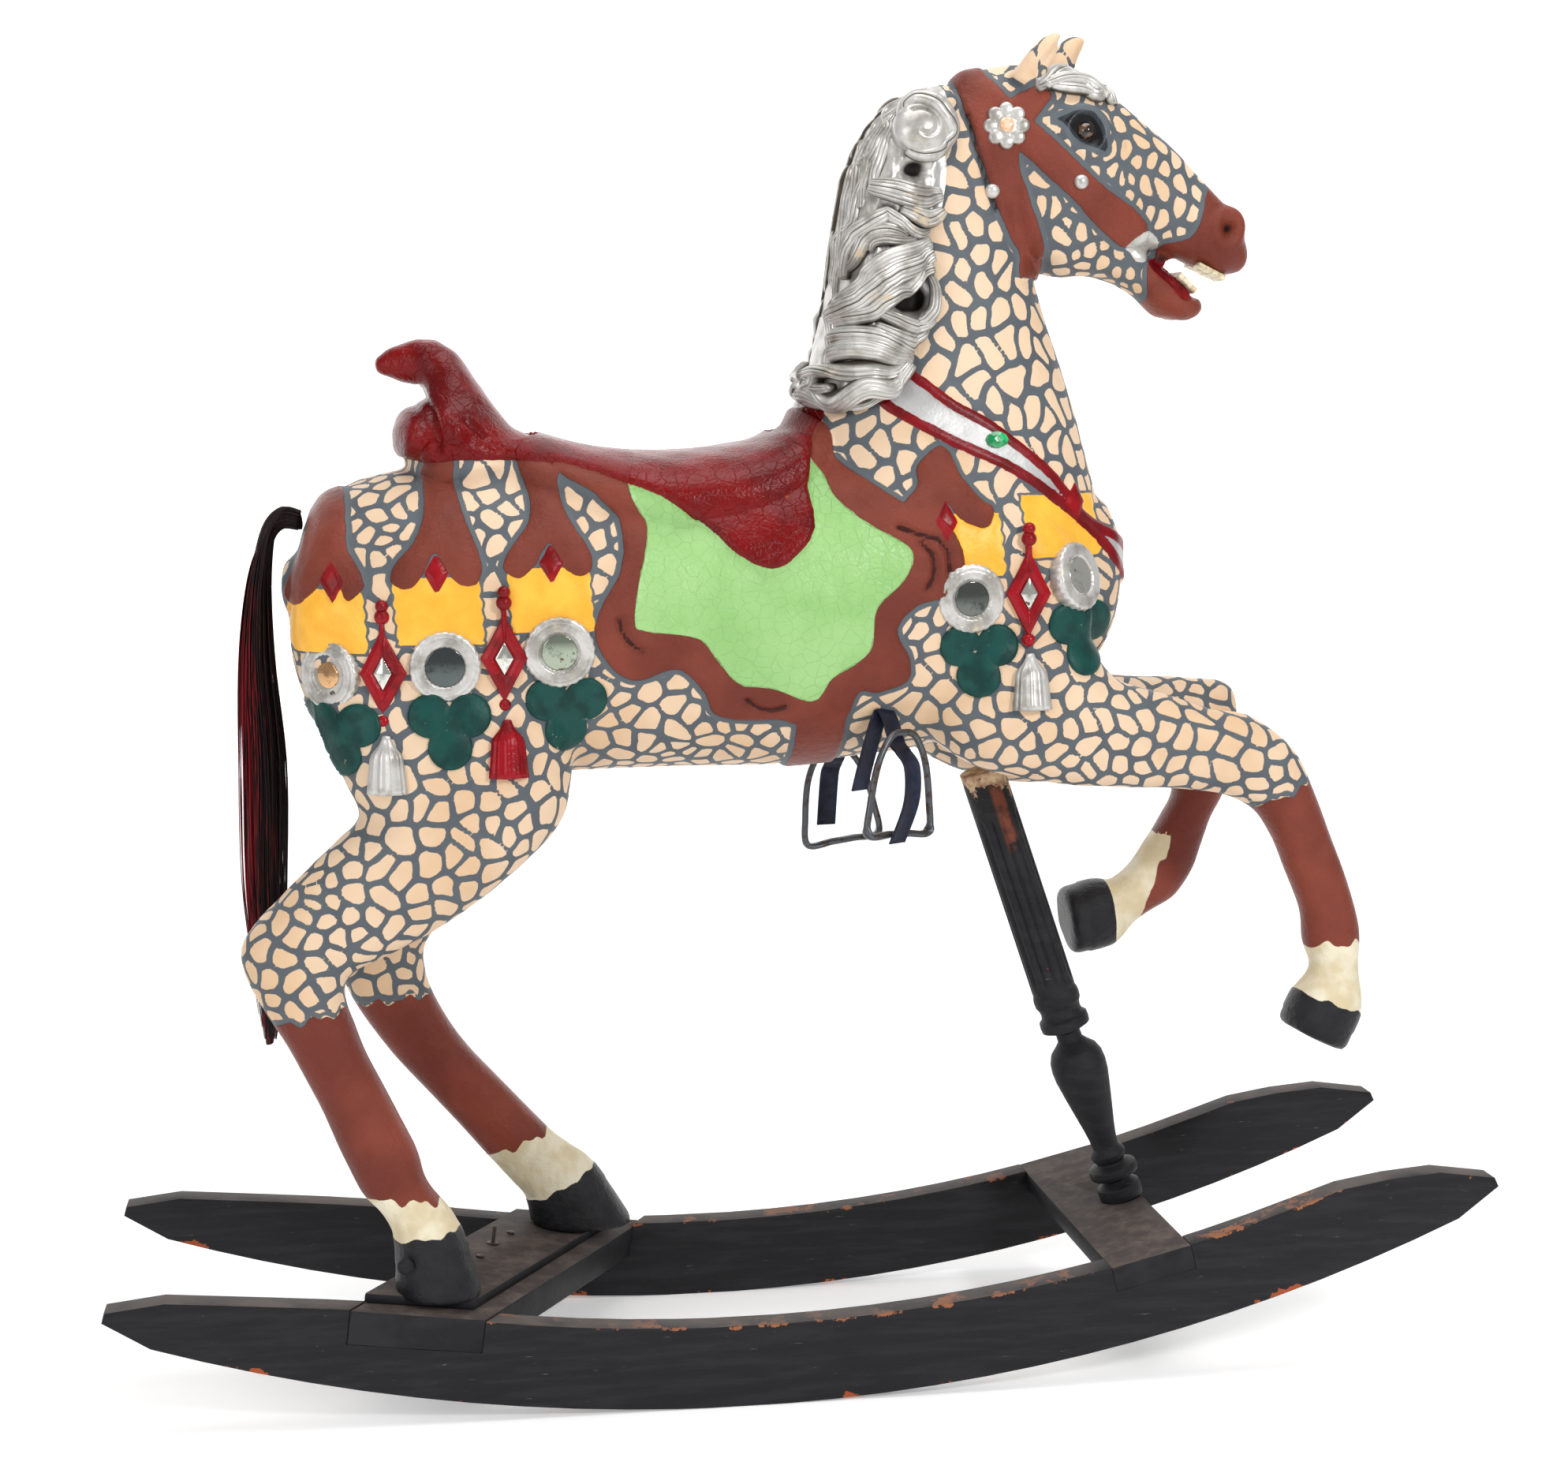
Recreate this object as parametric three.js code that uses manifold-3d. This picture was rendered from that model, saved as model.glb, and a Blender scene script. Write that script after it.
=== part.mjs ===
// A carved and painted wooden horse on a pair of curved rockers.
// Millimetres, +Z up, the horse faces +X. The origin is on the floor, in the
// middle of the rockers' length and width.

import * as THREE from 'three';
import { mergeVertices } from 'three/addons/utils/BufferGeometryUtils.js';
import Module from 'manifold-3d';

const wasm = await Module();
wasm.setup();

// Driving dimensions: the rockers
const rockerSpan = 1650;
const rockerRadius = 2178;
const rockerTrack = 446;
const boardHeight = 97;
const boardThickness = 35;
const tipHeight = 40;
const tipRoundShare = 0.35;
const noseTaper = 200;
const tailTaper = 340;
const rockerLean = THREE.MathUtils.degToRad(2.7);
const restFlat = 90;
const rockerSteps = 28;

// Driving dimensions: the crossbars, the plate and the fastenings
const frontBarX = 392;
const frontBarWidth = 100;
const frontBarThickness = 30;
const rearBarNearX = -465;
const rearBarFarX = -250;
const rearBarWidth = 137;
const rearBarThickness = 40;
const plateThickness = 12;
const plateStep = 25;
const plateEndInset = 30;
const screwHeadRadius = 5;
const screwHeadHeight = 2.5;
const standingScrewRadius = 2.5;
const standingScrewHeight = 22;
const washerRadius = 8;
const washerThickness = 1.5;
const boltHeadRadius = 10;
const boltHeadHeight = 6;

// Driving dimensions: the turned post
const postFootX = 424;
const postTopX = 232;
const postTopHeight = 712;
const postShaftRadius = 27.5;
const postFluteDepth = 3.5;
const postFluteCount = 12;
const postFootRadius = 17;
const postFootDepth = 6;
const postShaftStart = 302;
const postPlainEnd = 70;
const postVaseRadius = 35;
const postCollarRadius = 31;

// Driving dimensions: the horse
const horseHeight = 1480;
const soleHeight = 115;
const reliefHeight = 4;
const flapHeight = 9;
const fit = 0.3;

// Driving dimensions: mirrors, jewels, tack and tail
const mirrorDepth = 3;
const mirrorBulge = 1;
const medallionHeight = 9;
const jewelRise = 4;
const ornamentRoot = 14;
const ringBevel = 0.8;
const ringDish = 3;
const mirrorInset = 4;
const pendantHeight = 6;
const rosetteHeight = 7.2;
const rosetteScallop = 0.22;
const tasselFlatness = 0.55;
const eyeRadius = 17;
const ironHeight = 118;
const ironWidth = 96;
const ironWire = 4;
const strapWidth = 25;
const strapThickness = 3;

// The figure's own unit: its stations are shares of the horse's height, 148 to
// the height, measured from the hind soles' level.
const sharesInHeight = 148;
const share = horseHeight / sharesInHeight;

// Solids and booleans
function toSolid(geometry) {
  const bare = geometry.index ? geometry.clone() : geometry;
  bare.deleteAttribute('normal');
  bare.deleteAttribute('uv');
  const merged = mergeVertices(bare, 1e-3);
  return new wasm.Manifold(new wasm.Mesh({
    numProp: 3,
    vertProperties: new Float32Array(merged.attributes.position.array),
    triVerts: new Uint32Array(merged.index.array),
  }));
}

function toGeometry(solid) {
  const mesh = solid.getMesh();
  const geometry = new THREE.BufferGeometry();
  geometry.setAttribute('position', new THREE.BufferAttribute(mesh.vertProperties, 3));
  geometry.setIndex(new THREE.BufferAttribute(mesh.triVerts, 1));
  geometry.computeVertexNormals();
  return geometry;
}

function joined(solids) {
  return solids.reduce((sum, each) => sum.add(each));
}

// Curves through stations
function between(rows, position) {
  const last = rows.length - 1;
  const start = Math.min(Math.floor(position), last - 1);
  const t = position - start;
  const before = rows[Math.max(start - 1, 0)];
  const from = rows[start];
  const to = rows[start + 1];
  const after = rows[Math.min(start + 2, last)];
  return from.map((value, i) => {
    const a = 2 * value;
    const b = to[i] - before[i];
    const c = 2 * before[i] - 5 * value + 4 * to[i] - after[i];
    const d = 3 * (value - to[i]) + after[i] - before[i];
    return (a + b * t + c * t * t + d * t * t * t) / 2;
  });
}

// A skin over rings of equal point counts, closed at both ends by a fan.
function skin(rings, startTip, endTip) {
  const sides = rings[0].length;
  const points = rings.flat().concat([startTip, endTip]);
  const index = [];
  const startIndex = points.length - 2;
  const endIndex = points.length - 1;
  for (let i = 0; i < rings.length - 1; i += 1) {
    for (let j = 0; j < sides; j += 1) {
      const a = i * sides + j;
      const b = i * sides + (j + 1) % sides;
      index.push(a, b, a + sides, b, b + sides, a + sides);
    }
  }
  const lastRing = (rings.length - 1) * sides;
  for (let j = 0; j < sides; j += 1) {
    const next = (j + 1) % sides;
    index.push(startIndex, next, j, endIndex, lastRing + j, lastRing + next);
  }
  const geometry = new THREE.BufferGeometry();
  geometry.setAttribute('position', new THREE.Float32BufferAttribute(points.flatMap((p) => p.toArray()), 3));
  geometry.setIndex(index);
  return geometry;
}

function outward(geometry) {
  const solid = toSolid(geometry);
  return solid.volume() < 0 ? toSolid(flipped(geometry)) : solid;
}

function flipped(geometry) {
  const other = geometry.clone();
  const index = Array.from(other.index.array);
  for (let i = 0; i < index.length; i += 3) {
    [index[i + 1], index[i + 2]] = [index[i + 2], index[i + 1]];
  }
  other.setIndex(index);
  return other;
}

// A limb, trunk or lock of the figure. A station is
// [upper x, upper z, lower x, lower z, half width, y] in shares; the upper and
// lower points lie on the side outline, and the half width is across it.
function limb(stations, { sides = 12, steps = 1, grow = 0, full = 2.3, dome = 0.35 } = {}) {
  const rings = [];
  const count = (stations.length - 1) * steps;
  const centres = [];
  const reaches = [];
  for (let i = 0; i <= count; i += 1) {
    const [ux, uz, lx, lz, width, y = 0] = between(stations, i / steps);
    const centre = new THREE.Vector3((ux + lx) / 2, y, (uz + lz) / 2).multiplyScalar(share);
    const half = new THREE.Vector3((ux - lx) / 2, 0, (uz - lz) / 2).multiplyScalar(share);
    half.setLength(half.length() + grow);
    const across = new THREE.Vector3(0, width * share + grow, 0);
    const ring = [];
    for (let j = 0; j < sides; j += 1) {
      const angle = 2 * Math.PI * j / sides;
      const up = Math.sign(Math.cos(angle)) * Math.abs(Math.cos(angle)) ** (2 / full);
      const side = Math.sign(Math.sin(angle)) * Math.abs(Math.sin(angle)) ** (2 / full);
      ring.push(centre.clone().addScaledVector(half, up).addScaledVector(across, side));
    }
    rings.push(ring);
    centres.push(centre);
    reaches.push(Math.min(half.length(), across.length()));
  }
  const startDirection = centres[0].clone().sub(centres[1]).setLength(reaches[0] * dome + grow);
  const endDirection = centres[count].clone().sub(centres[count - 1]).setLength(reaches[count] * dome + grow);
  const startTip = centres[0].clone().add(startDirection);
  const endTip = centres[count].clone().add(endDirection);
  return outward(skin(rings, startTip, endTip));
}

// Trunk, neck and head stations
const torsoStations = [
  [-59.4, 86.5, -60.2, 80.0, 5.0],
  [-57.6, 91.6, -59.6, 73.0, 9.8],
  [-53.5, 95.0, -56.0, 66.5, 12.6],
  [-46.5, 97.0, -47.5, 62.0, 14.7],
  [-37.5, 98.0, -37.5, 60.6, 15.4],
  [-27.5, 97.6, -27.0, 61.0, 15.5],
  [-15.0, 96.2, -15.0, 61.2, 15.8],
  [-2.0, 98.5, -3.0, 61.2, 16.0],
  [9.0, 101.5, 7.0, 62.0, 15.8],
  [20.0, 101.5, 17.5, 63.4, 14.8],
  [30.0, 97.5, 28.0, 66.5, 12.4],
  [35.6, 93.6, 34.7, 72.0, 9.0],
];

const neckStations = [
  [-3.0, 97.0, 30.0, 74.0, 12.0],
  [-1.5, 101.5, 37.4, 83.0, 12.6],
  [0.8, 106.0, 37.2, 90.5, 11.8],
  [2.8, 110.0, 35.6, 97.6, 10.6],
  [4.0, 115.0, 33.2, 106.0, 9.2],
  [5.0, 121.0, 30.6, 113.6, 8.0],
  [6.5, 128.0, 28.8, 119.5, 7.2],
  [9.5, 134.6, 28.6, 123.4, 6.6],
  [14.0, 139.6, 29.6, 127.0, 6.0],
  [20.0, 142.8, 31.0, 130.0, 5.2],
];

const headStations = [
  [21.0, 143.6, 19.5, 133.0, 4.6],
  [27.5, 144.6, 23.5, 125.5, 6.0],
  [32.8, 143.4, 28.0, 120.8, 6.8],
  [37.8, 141.2, 33.0, 119.4, 7.0],
  [42.0, 138.2, 37.6, 121.0, 6.0],
  [45.8, 135.2, 42.2, 123.6, 5.0],
  [49.0, 132.0, 45.8, 122.2, 4.4],
  [51.8, 129.0, 49.0, 120.6, 4.2],
  [54.2, 126.0, 51.6, 119.4, 4.2],
  [55.4, 122.8, 53.6, 119.2, 3.4],
];

const jawStations = [
  [31.0, 127.0, 31.0, 119.6, 5.2],
  [37.5, 124.8, 37.0, 119.9, 4.4],
  [42.0, 122.4, 41.6, 117.8, 3.7],
  [45.2, 120.6, 44.6, 115.5, 3.3],
  [47.6, 119.0, 47.2, 114.8, 3.3],
  [49.6, 118.1, 49.2, 115.6, 2.4],
];

// Leg stations
const nearHindStations = [
  [-30.0, 80.0, -56.0, 78.0, 6.0, -7.0],
  [-27.6, 72.0, -57.4, 70.0, 7.6, -8.2],
  [-28.0, 63.0, -54.6, 62.0, 7.6, -9.5],
  [-30.0, 55.6, -52.8, 57.6, 7.0, -10.2],
  [-39.0, 47.6, -55.6, 54.6, 6.0, -11.2],
  [-47.0, 42.8, -61.2, 49.4, 5.0, -12.0],
  [-54.0, 39.6, -65.8, 44.4, 4.2, -12.7],
  [-54.6, 36.6, -66.4, 41.0, 4.0, -13.1],
  [-53.8, 34.0, -64.0, 35.8, 3.8, -13.6],
  [-52.6, 30.8, -61.0, 30.7, 3.5, -14.2],
  [-50.2, 25.8, -58.0, 24.8, 3.4, -15.0],
  [-47.2, 19.9, -55.3, 18.4, 3.7, -15.7],
  [-46.2, 16.4, -53.4, 14.6, 3.6, -16.2],
  [-45.2, 14.6, -51.2, 12.2, 3.3, -16.4],
  [-42.4, 10.6, -49.8, 9.0, 4.2, -16.5],
  [-39.6, 2.0, -49.8, 2.4, 5.0, -16.5],
];

const farHindStations = [
  [-30.0, 80.0, -56.0, 78.0, 6.0, 7.0],
  [-26.0, 72.0, -55.0, 70.0, 7.6, 8.2],
  [-26.0, 63.0, -52.0, 62.0, 7.6, 9.2],
  [-28.0, 56.0, -49.0, 56.0, 7.0, 10.0],
  [-33.0, 49.0, -49.0, 51.0, 6.0, 10.5],
  [-39.0, 43.6, -52.4, 46.4, 5.0, 10.8],
  [-44.4, 38.6, -55.6, 40.8, 4.2, 11.0],
  [-44.6, 34.4, -55.6, 36.6, 4.0, 11.1],
  [-43.0, 30.0, -53.6, 31.0, 3.8, 11.3],
  [-40.0, 25.2, -49.6, 25.0, 3.5, 11.7],
  [-35.6, 20.2, -45.0, 19.4, 3.4, 12.2],
  [-31.6, 15.6, -40.4, 14.0, 3.6, 12.8],
  [-28.8, 12.6, -37.2, 10.0, 3.6, 13.2],
  [-26.6, 10.8, -34.2, 6.4, 3.4, 13.5],
  [-23.7, 8.3, -32.4, 4.2, 4.2, 13.8],
  [-18.6, 0.2, -31.6, 0.2, 5.0, 14.0],
];

const nearForeStations = [
  [24.0, 84.0, 12.0, 70.0, 5.5, -8.0],
  [32.0, 78.6, 15.0, 64.8, 7.0, -8.8],
  [36.0, 73.0, 20.0, 61.6, 6.8, -9.5],
  [38.4, 71.2, 25.6, 60.0, 6.2, -10.0],
  [43.0, 70.0, 33.2, 58.9, 5.4, -10.0],
  [49.0, 67.9, 41.5, 58.5, 4.8, -10.0],
  [54.0, 67.0, 49.0, 57.8, 4.4, -10.0],
  [59.4, 63.0, 54.4, 55.8, 4.0, -10.0],
  [62.4, 57.2, 57.0, 52.5, 3.5, -10.0],
  [65.2, 50.6, 58.9, 48.1, 3.0, -10.0],
  [67.6, 44.2, 61.0, 43.0, 3.0, -10.0],
  [68.6, 39.4, 61.6, 38.7, 3.2, -10.0],
  [68.5, 35.6, 62.6, 35.6, 2.9, -10.0],
  [69.0, 30.4, 60.4, 32.4, 4.0, -10.0],
  [66.8, 25.2, 59.0, 29.0, 4.6, -10.0],
];

const farForeStations = [
  [24.0, 84.0, 12.0, 70.0, 5.5, 8.0],
  [30.0, 77.0, 16.0, 62.0, 7.0, 8.6],
  [36.0, 71.0, 25.0, 57.6, 6.4, 9.0],
  [44.0, 70.0, 33.2, 56.6, 5.6, 9.0],
  [51.7, 69.6, 42.4, 57.6, 4.8, 9.0],
  [57.6, 68.6, 48.0, 58.2, 4.4, 9.0],
  [58.6, 64.0, 49.6, 57.4, 4.2, 9.0],
  [57.8, 57.0, 50.6, 54.8, 3.6, 9.0],
  [55.2, 51.0, 48.2, 50.4, 3.1, 9.0],
  [53.4, 45.4, 45.0, 45.6, 3.0, 9.0],
  [50.6, 41.4, 43.4, 44.2, 3.2, 9.0],
  [46.0, 38.6, 42.0, 43.6, 2.9, 9.0],
  [42.6, 35.4, 40.8, 43.8, 4.0, 9.0],
  [37.4, 34.4, 36.0, 42.8, 4.6, 9.0],
];

const nearEarStations = [
  [24.8, 142.4, 28.2, 140.8, 1.7, -4.0],
  [25.4, 144.2, 29.2, 142.9, 2.1, -4.5],
  [27.3, 146.1, 30.4, 144.5, 1.9, -4.8],
  [29.4, 147.5, 31.3, 145.9, 1.3, -4.9],
];

const farEarStations = [
  [29.6, 142.6, 33.0, 141.0, 1.7, 4.0],
  [31.0, 145.0, 34.3, 143.6, 2.1, 4.4],
  [32.8, 147.0, 35.6, 145.5, 1.8, 4.7],
  [34.8, 148.1, 36.4, 147.0, 1.2, 4.8],
];

// Mane, forelock and saddle stations
const maneStations = [
  [17.0, 142.0, 19.0, 138.0, 5.2],
  [12.6, 140.6, 17.4, 134.0, 6.6],
  [8.4, 136.4, 16.6, 129.0, 7.6],
  [5.6, 130.0, 16.0, 124.0, 8.3],
  [4.4, 123.0, 15.4, 119.0, 9.0],
  [3.6, 116.6, 14.8, 114.0, 10.0],
  [2.2, 111.0, 13.4, 109.0, 11.2],
  [1.2, 106.0, 10.5, 105.0, 11.0],
];

const forelockStations = [
  [28.4, 143.8, 28.6, 141.4, 2.6],
  [32.0, 145.2, 32.0, 141.4, 3.4],
  [35.6, 144.4, 34.6, 140.0, 3.2],
  [38.4, 141.4, 36.8, 138.8, 2.0],
];

// Locks are drawn as [x, z] points from root to tip, with a half width. They
// are carved on the right side, the show side.
const locks = [
  { halfWidth: 1.5, path: [[10.8, 138.0], [14.4, 139.4], [16.4, 136.6], [14.4, 133.9], [11.6, 135.4]] },
  { halfWidth: 1.6, path: [[7.2, 128.3], [11.4, 129.6], [16.2, 129.8], [16.0, 126.4], [12.4, 124.4]] },
  { halfWidth: 1.6, path: [[4.6, 118.9], [5.4, 122.0], [8.0, 124.8], [11.2, 125.0], [14.8, 121.4]] },
  { halfWidth: 1.8, path: [[14.6, 121.0], [11.4, 118.6], [8.6, 115.8], [5.2, 113.9], [2.6, 112.2]] },
  { halfWidth: 1.2, path: [[14.4, 119.2], [15.0, 115.6], [13.0, 112.8], [9.1, 113.2]] },
  { halfWidth: 1.5, path: [[2.8, 111.0], [6.4, 112.0], [10.6, 111.6], [12.4, 110.0], [11.8, 107.4]] },
  { halfWidth: 1.4, path: [[3.3, 106.8], [5.0, 108.7], [9.1, 109.3], [11.6, 108.8]] },
  { halfWidth: 1.4, path: [[1.4, 106.0], [3.4, 104.6], [7.8, 105.0], [10.4, 106.4]] },
];

const seatStations = [
  [-35.5, 102.4, -35.0, 93.0, 8.6],
  [-29.2, 99.8, -29.0, 91.0, 10.6],
  [-23.6, 98.5, -23.6, 89.0, 12.0],
  [-15.1, 98.1, -15.0, 88.0, 12.6],
  [-5.6, 99.3, -5.6, 89.0, 12.2],
  [-0.8, 101.8, 0.0, 91.0, 10.6],
  [1.8, 103.6, 3.0, 93.0, 9.0],
];

const cantleStations = [
  [-49.5, 110.0, -48.8, 107.8, 1.5],
  [-47.2, 111.3, -46.6, 107.0, 2.6],
  [-43.8, 112.1, -44.6, 106.4, 3.8],
  [-40.6, 110.6, -44.8, 104.6, 5.0],
  [-38.0, 107.2, -46.4, 102.0, 7.0],
  [-35.0, 103.0, -47.0, 99.0, 9.0],
  [-32.0, 99.5, -45.5, 95.0, 9.6],
];

const cantleLobes = [
  { at: [-44.2, 0, 100.8], size: [3.0, 8.4, 4.4] },
  { at: [-39.6, 0, 100.9], size: [4.6, 10.4, 5.0] },
];

// Carved relief, as side outlines [x, z] in shares
const clothEdge = [
  [-29.1, 98.6], [-25.3, 94.4], [-22.6, 91.3], [-22.7, 86.0], [-25.1, 81.6], [-25.8, 78.4],
  [-24.0, 74.8], [-21.0, 73.2], [-16.3, 74.4], [-13.2, 71.6], [-12.0, 69.2], [-9.1, 68.0],
  [-4.5, 68.0], [0.6, 67.6], [4.2, 70.6], [7.4, 71.0], [10.8, 72.5], [10.9, 75.1],
  [9.3, 78.6], [11.8, 81.4], [15.7, 82.4], [17.4, 85.6], [16.5, 89.2], [14.0, 91.6],
  [10.8, 92.9], [6.5, 95.6], [3.2, 98.3], [1.2, 103.0],
];

const clothField = [
  [-21.3, 96.6], [-19.6, 90.5], [-20.8, 84.0], [-21.2, 79.2], [-14.2, 78.0], [-12.1, 75.8],
  [-9.3, 72.8], [-5.3, 72.0], [-0.4, 70.4], [1.8, 73.1], [6.0, 76.1], [6.8, 81.0],
  [9.6, 83.8], [11.0, 86.6], [10.6, 88.6], [5.8, 90.9], [2.5, 93.8], [0.4, 98.6],
];

const flapEdge = [
  [1.6, 103.0], [0.0, 97.0], [-0.2, 90.4], [-2.4, 87.2], [-5.3, 85.7], [-8.9, 87.1],
  [-12.3, 90.1], [-16.5, 93.1], [-21.6, 95.6], [-29.5, 98.0], [-29.5, 106.0], [1.6, 106.0],
];

const girth = { front: 4.0, back: -2.0, top: 72.0, bottom: 56.0 };

const breastStrap = [
  [12.1, 107.6], [17.1, 104.9], [21.8, 102.0], [28.8, 96.6], [33.7, 91.6], [40.0, 87.6],
  [40.0, 82.6], [34.8, 87.4], [29.6, 91.8], [23.6, 96.0], [15.0, 100.1], [8.3, 104.5],
];

// Each drop hangs from a strap: a scalloped panel, a mirror ring and a trefoil.
// The foremost one hangs from the breast strap and has no strap of its own.
const drops = [
  { x: -55.8, z: 74.0, strapTop: 95.0, panelTop: 84.0, panelX: -56.0, panelWidth: 7.8, leafX: 0.9, mirror: 1.4 },
  { x: -42.9, z: 75.1, strapTop: 99.0, panelTop: 84.8, panelX: -43.6, panelWidth: 9.8, leafX: 0.4, mirror: 2.1 },
  { x: -29.9, z: 76.6, strapTop: 99.0, panelTop: 86.0, panelX: -30.9, panelWidth: 9.2, leafX: 0.8, mirror: 1.9 },
  { x: 18.3, z: 82.0, strapTop: 98.6, panelTop: 91.6, panelX: 18.2, panelWidth: 7.2, leafX: 1.0, mirror: 1.9 },
  { x: 31.6, z: 84.3, strapTop: 0, panelTop: 94.0, panelX: 30.0, panelWidth: 9.6, leafX: 0.8, mirror: 2.1 },
];
const ringRadius = 4.1;
const ringSides = 10;
const leafRadius = 3.7;
const leafWaist = 0.45;
const leafDrop = 6.6;
const leafPoints = 9;

const pendants = [
  { x: -49.8, z: 74.4 },
  { x: -36.2, z: 76.0 },
  { x: 25.1, z: 82.5 },
];
const pendantOutline = [
  [0, 8.2], [-0.9, 7.0], [-0.7, 5.4], [-2.6, 0], [0, -5.6], [2.6, 0], [0.7, 5.4], [0.9, 7.0],
];
const pendantMirror = [[0, 2.1], [-1.2, 0], [0, -2.1], [1.2, 0]];

// A tassel hangs under each pendant; its profile is [radius, height] in shares.
const tasselPlace = { x: 0.3, z: -10 };
const tasselProfile = [[0, 4.4], [0.9, 2.6], [1.6, 0.6], [2.3, -3.4], [0, -3.8]];
const tasselSides = 6;

const bridleStraps = [
  { from: [21.6, 145.0], to: [24.1, 136.9], width: 3.6 },
  { from: [24.1, 138.4], to: [30.6, 140.4], width: 3.0 },
  { from: [24.1, 137.2], to: [42.4, 124.0], width: 3.0 },
  { from: [23.2, 136.2], to: [29.0, 121.4], width: 3.2 },
];

const rosette = { x: 24.1, z: 136.9, radius: 2.7, petals: 8, jewel: 0.9 };
const breastJewel = { x: 22.0, z: 100.2, length: 1.35, height: 0.95 };
const eye = { x: 33.4, z: 136.4, y: 5.3 };
const nostril = { at: [52.3, 4.3, 125.4], size: [0.8, 1.0, 1.2] };
const strapSlot = { x: 8.5, z: 68.9, y: 12.4 };
const boltPlace = { x: -48.2, y: -19.6, z: 7.0 };

// Relief: everything inside a side outline, raised over the trunk. The drops'
// straps are carved on the right side, the show side.
function outlineShape(points) {
  return new THREE.Shape(points.map(([x, z]) => new THREE.Vector2(x * share, z * share)));
}

function across(points, onlyRight = false) {
  const reach = 30 * share;
  const depth = onlyRight ? reach : 2 * reach;
  const geometry = new THREE.ExtrudeGeometry(outlineShape(points), { depth, bevelEnabled: false });
  geometry.translate(0, 0, onlyRight ? 0 : -reach);
  geometry.rotateX(Math.PI / 2);
  return outward(geometry);
}

function strip([x1, z1], [x2, z2], width) {
  const length = Math.hypot(x2 - x1, z2 - z1);
  const nx = (z1 - z2) / length * width / 2;
  const nz = (x2 - x1) / length * width / 2;
  return [[x1 + nx, z1 + nz], [x1 - nx, z1 - nz], [x2 - nx, z2 - nz], [x2 + nx, z2 + nz]];
}

function trunk(grow) {
  return joined([
    limb(torsoStations, { sides: 14, grow, dome: 0.6 }),
    limb(neckStations, { sides: 12, grow }),
    limb(nearHindStations.slice(0, 5), { sides: 8, grow: grow / 2, dome: 0.02 }),
    limb(farHindStations.slice(0, 5), { sides: 8, grow: grow / 2, dome: 0.02 }),
    limb(nearForeStations.slice(0, 5), { sides: 8, grow: grow / 2, dome: 0.02 }),
    limb(farForeStations.slice(0, 5), { sides: 8, grow: grow / 2, dome: 0.02 }),
  ]);
}

const bareTrunk = trunk(0);
const trunkMesh = new THREE.Mesh(toGeometry(bareTrunk), new THREE.MeshBasicMaterial());
const headMesh = new THREE.Mesh(toGeometry(limb(headStations)), new THREE.MeshBasicMaterial());

// Where a line across the horse first meets it, in shares
function surfaceY(mesh, x, z, side) {
  const from = new THREE.Vector3(x * share, side * 30 * share, z * share);
  const caster = new THREE.Raycaster(from, new THREE.Vector3(0, -side, 0));
  const hits = caster.intersectObject(mesh);
  return hits.length > 0 ? hits[0].point.y / share : side;
}

// A frame on the surface: local X along the horse, Y up it, Z out of it
function placeOn(mesh, x, z, side, span = 3) {
  const point = (px, pz) => new THREE.Vector3(px, surfaceY(mesh, px, pz, side), pz);
  const along = point(x + span, z).sub(point(x - span, z)).normalize();
  const up = point(x, z + span).sub(point(x, z - span)).normalize();
  const out = new THREE.Vector3().crossVectors(along, up).normalize().multiplyScalar(-side);
  const xAxis = along.clone().multiplyScalar(-side);
  const yAxis = new THREE.Vector3().crossVectors(out, xAxis);
  const frame = new THREE.Matrix4().makeBasis(xAxis, yAxis, out);
  return frame.setPosition(point(x, z).multiplyScalar(share));
}

function lathe(profile, sides) {
  const geometry = new THREE.LatheGeometry(profile.map(([r, z]) => new THREE.Vector2(r, z)), sides);
  geometry.rotateX(Math.PI / 2);
  return geometry;
}

function slab(points, low, high) {
  const depth = high - low;
  const geometry = new THREE.ExtrudeGeometry(outlineShape(points), { depth, bevelEnabled: false });
  geometry.translate(0, 0, low);
  return geometry;
}

function ellipsoid([x, y, z], [a, b, c], sides = 12) {
  const geometry = new THREE.SphereGeometry(share, sides, Math.ceil(sides * 0.67));
  geometry.scale(a, b, c);
  geometry.translate(x * share, y * share, z * share);
  return geometry;
}

function lockStations({ path, halfWidth }) {
  const side = -1;
  const curve = new THREE.CatmullRomCurve3(path.map(([x, z]) => new THREE.Vector3(x, 0, z)));
  const steps = path.length;
  const stations = [];
  for (let i = 0; i <= steps; i += 1) {
    const t = i / steps;
    const p = curve.getPoint(t);
    const tangent = curve.getTangent(t);
    const width = halfWidth * (0.45 + 0.75 * Math.sin(Math.PI * Math.min(1, 0.12 + 0.8 * t)));
    const y = surfaceY(trunkMesh, p.x, p.z, side) + side * 0.5;
    stations.push([
      p.x - tangent.z * width, p.z + tangent.x * width,
      p.x + tangent.z * width, p.z - tangent.x * width,
      1.7, y,
    ]);
  }
  return stations;
}

// The carved horse, one solid
const sides = [-1, 1];
const ringSockets = [];
const mirrors = [];

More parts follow.
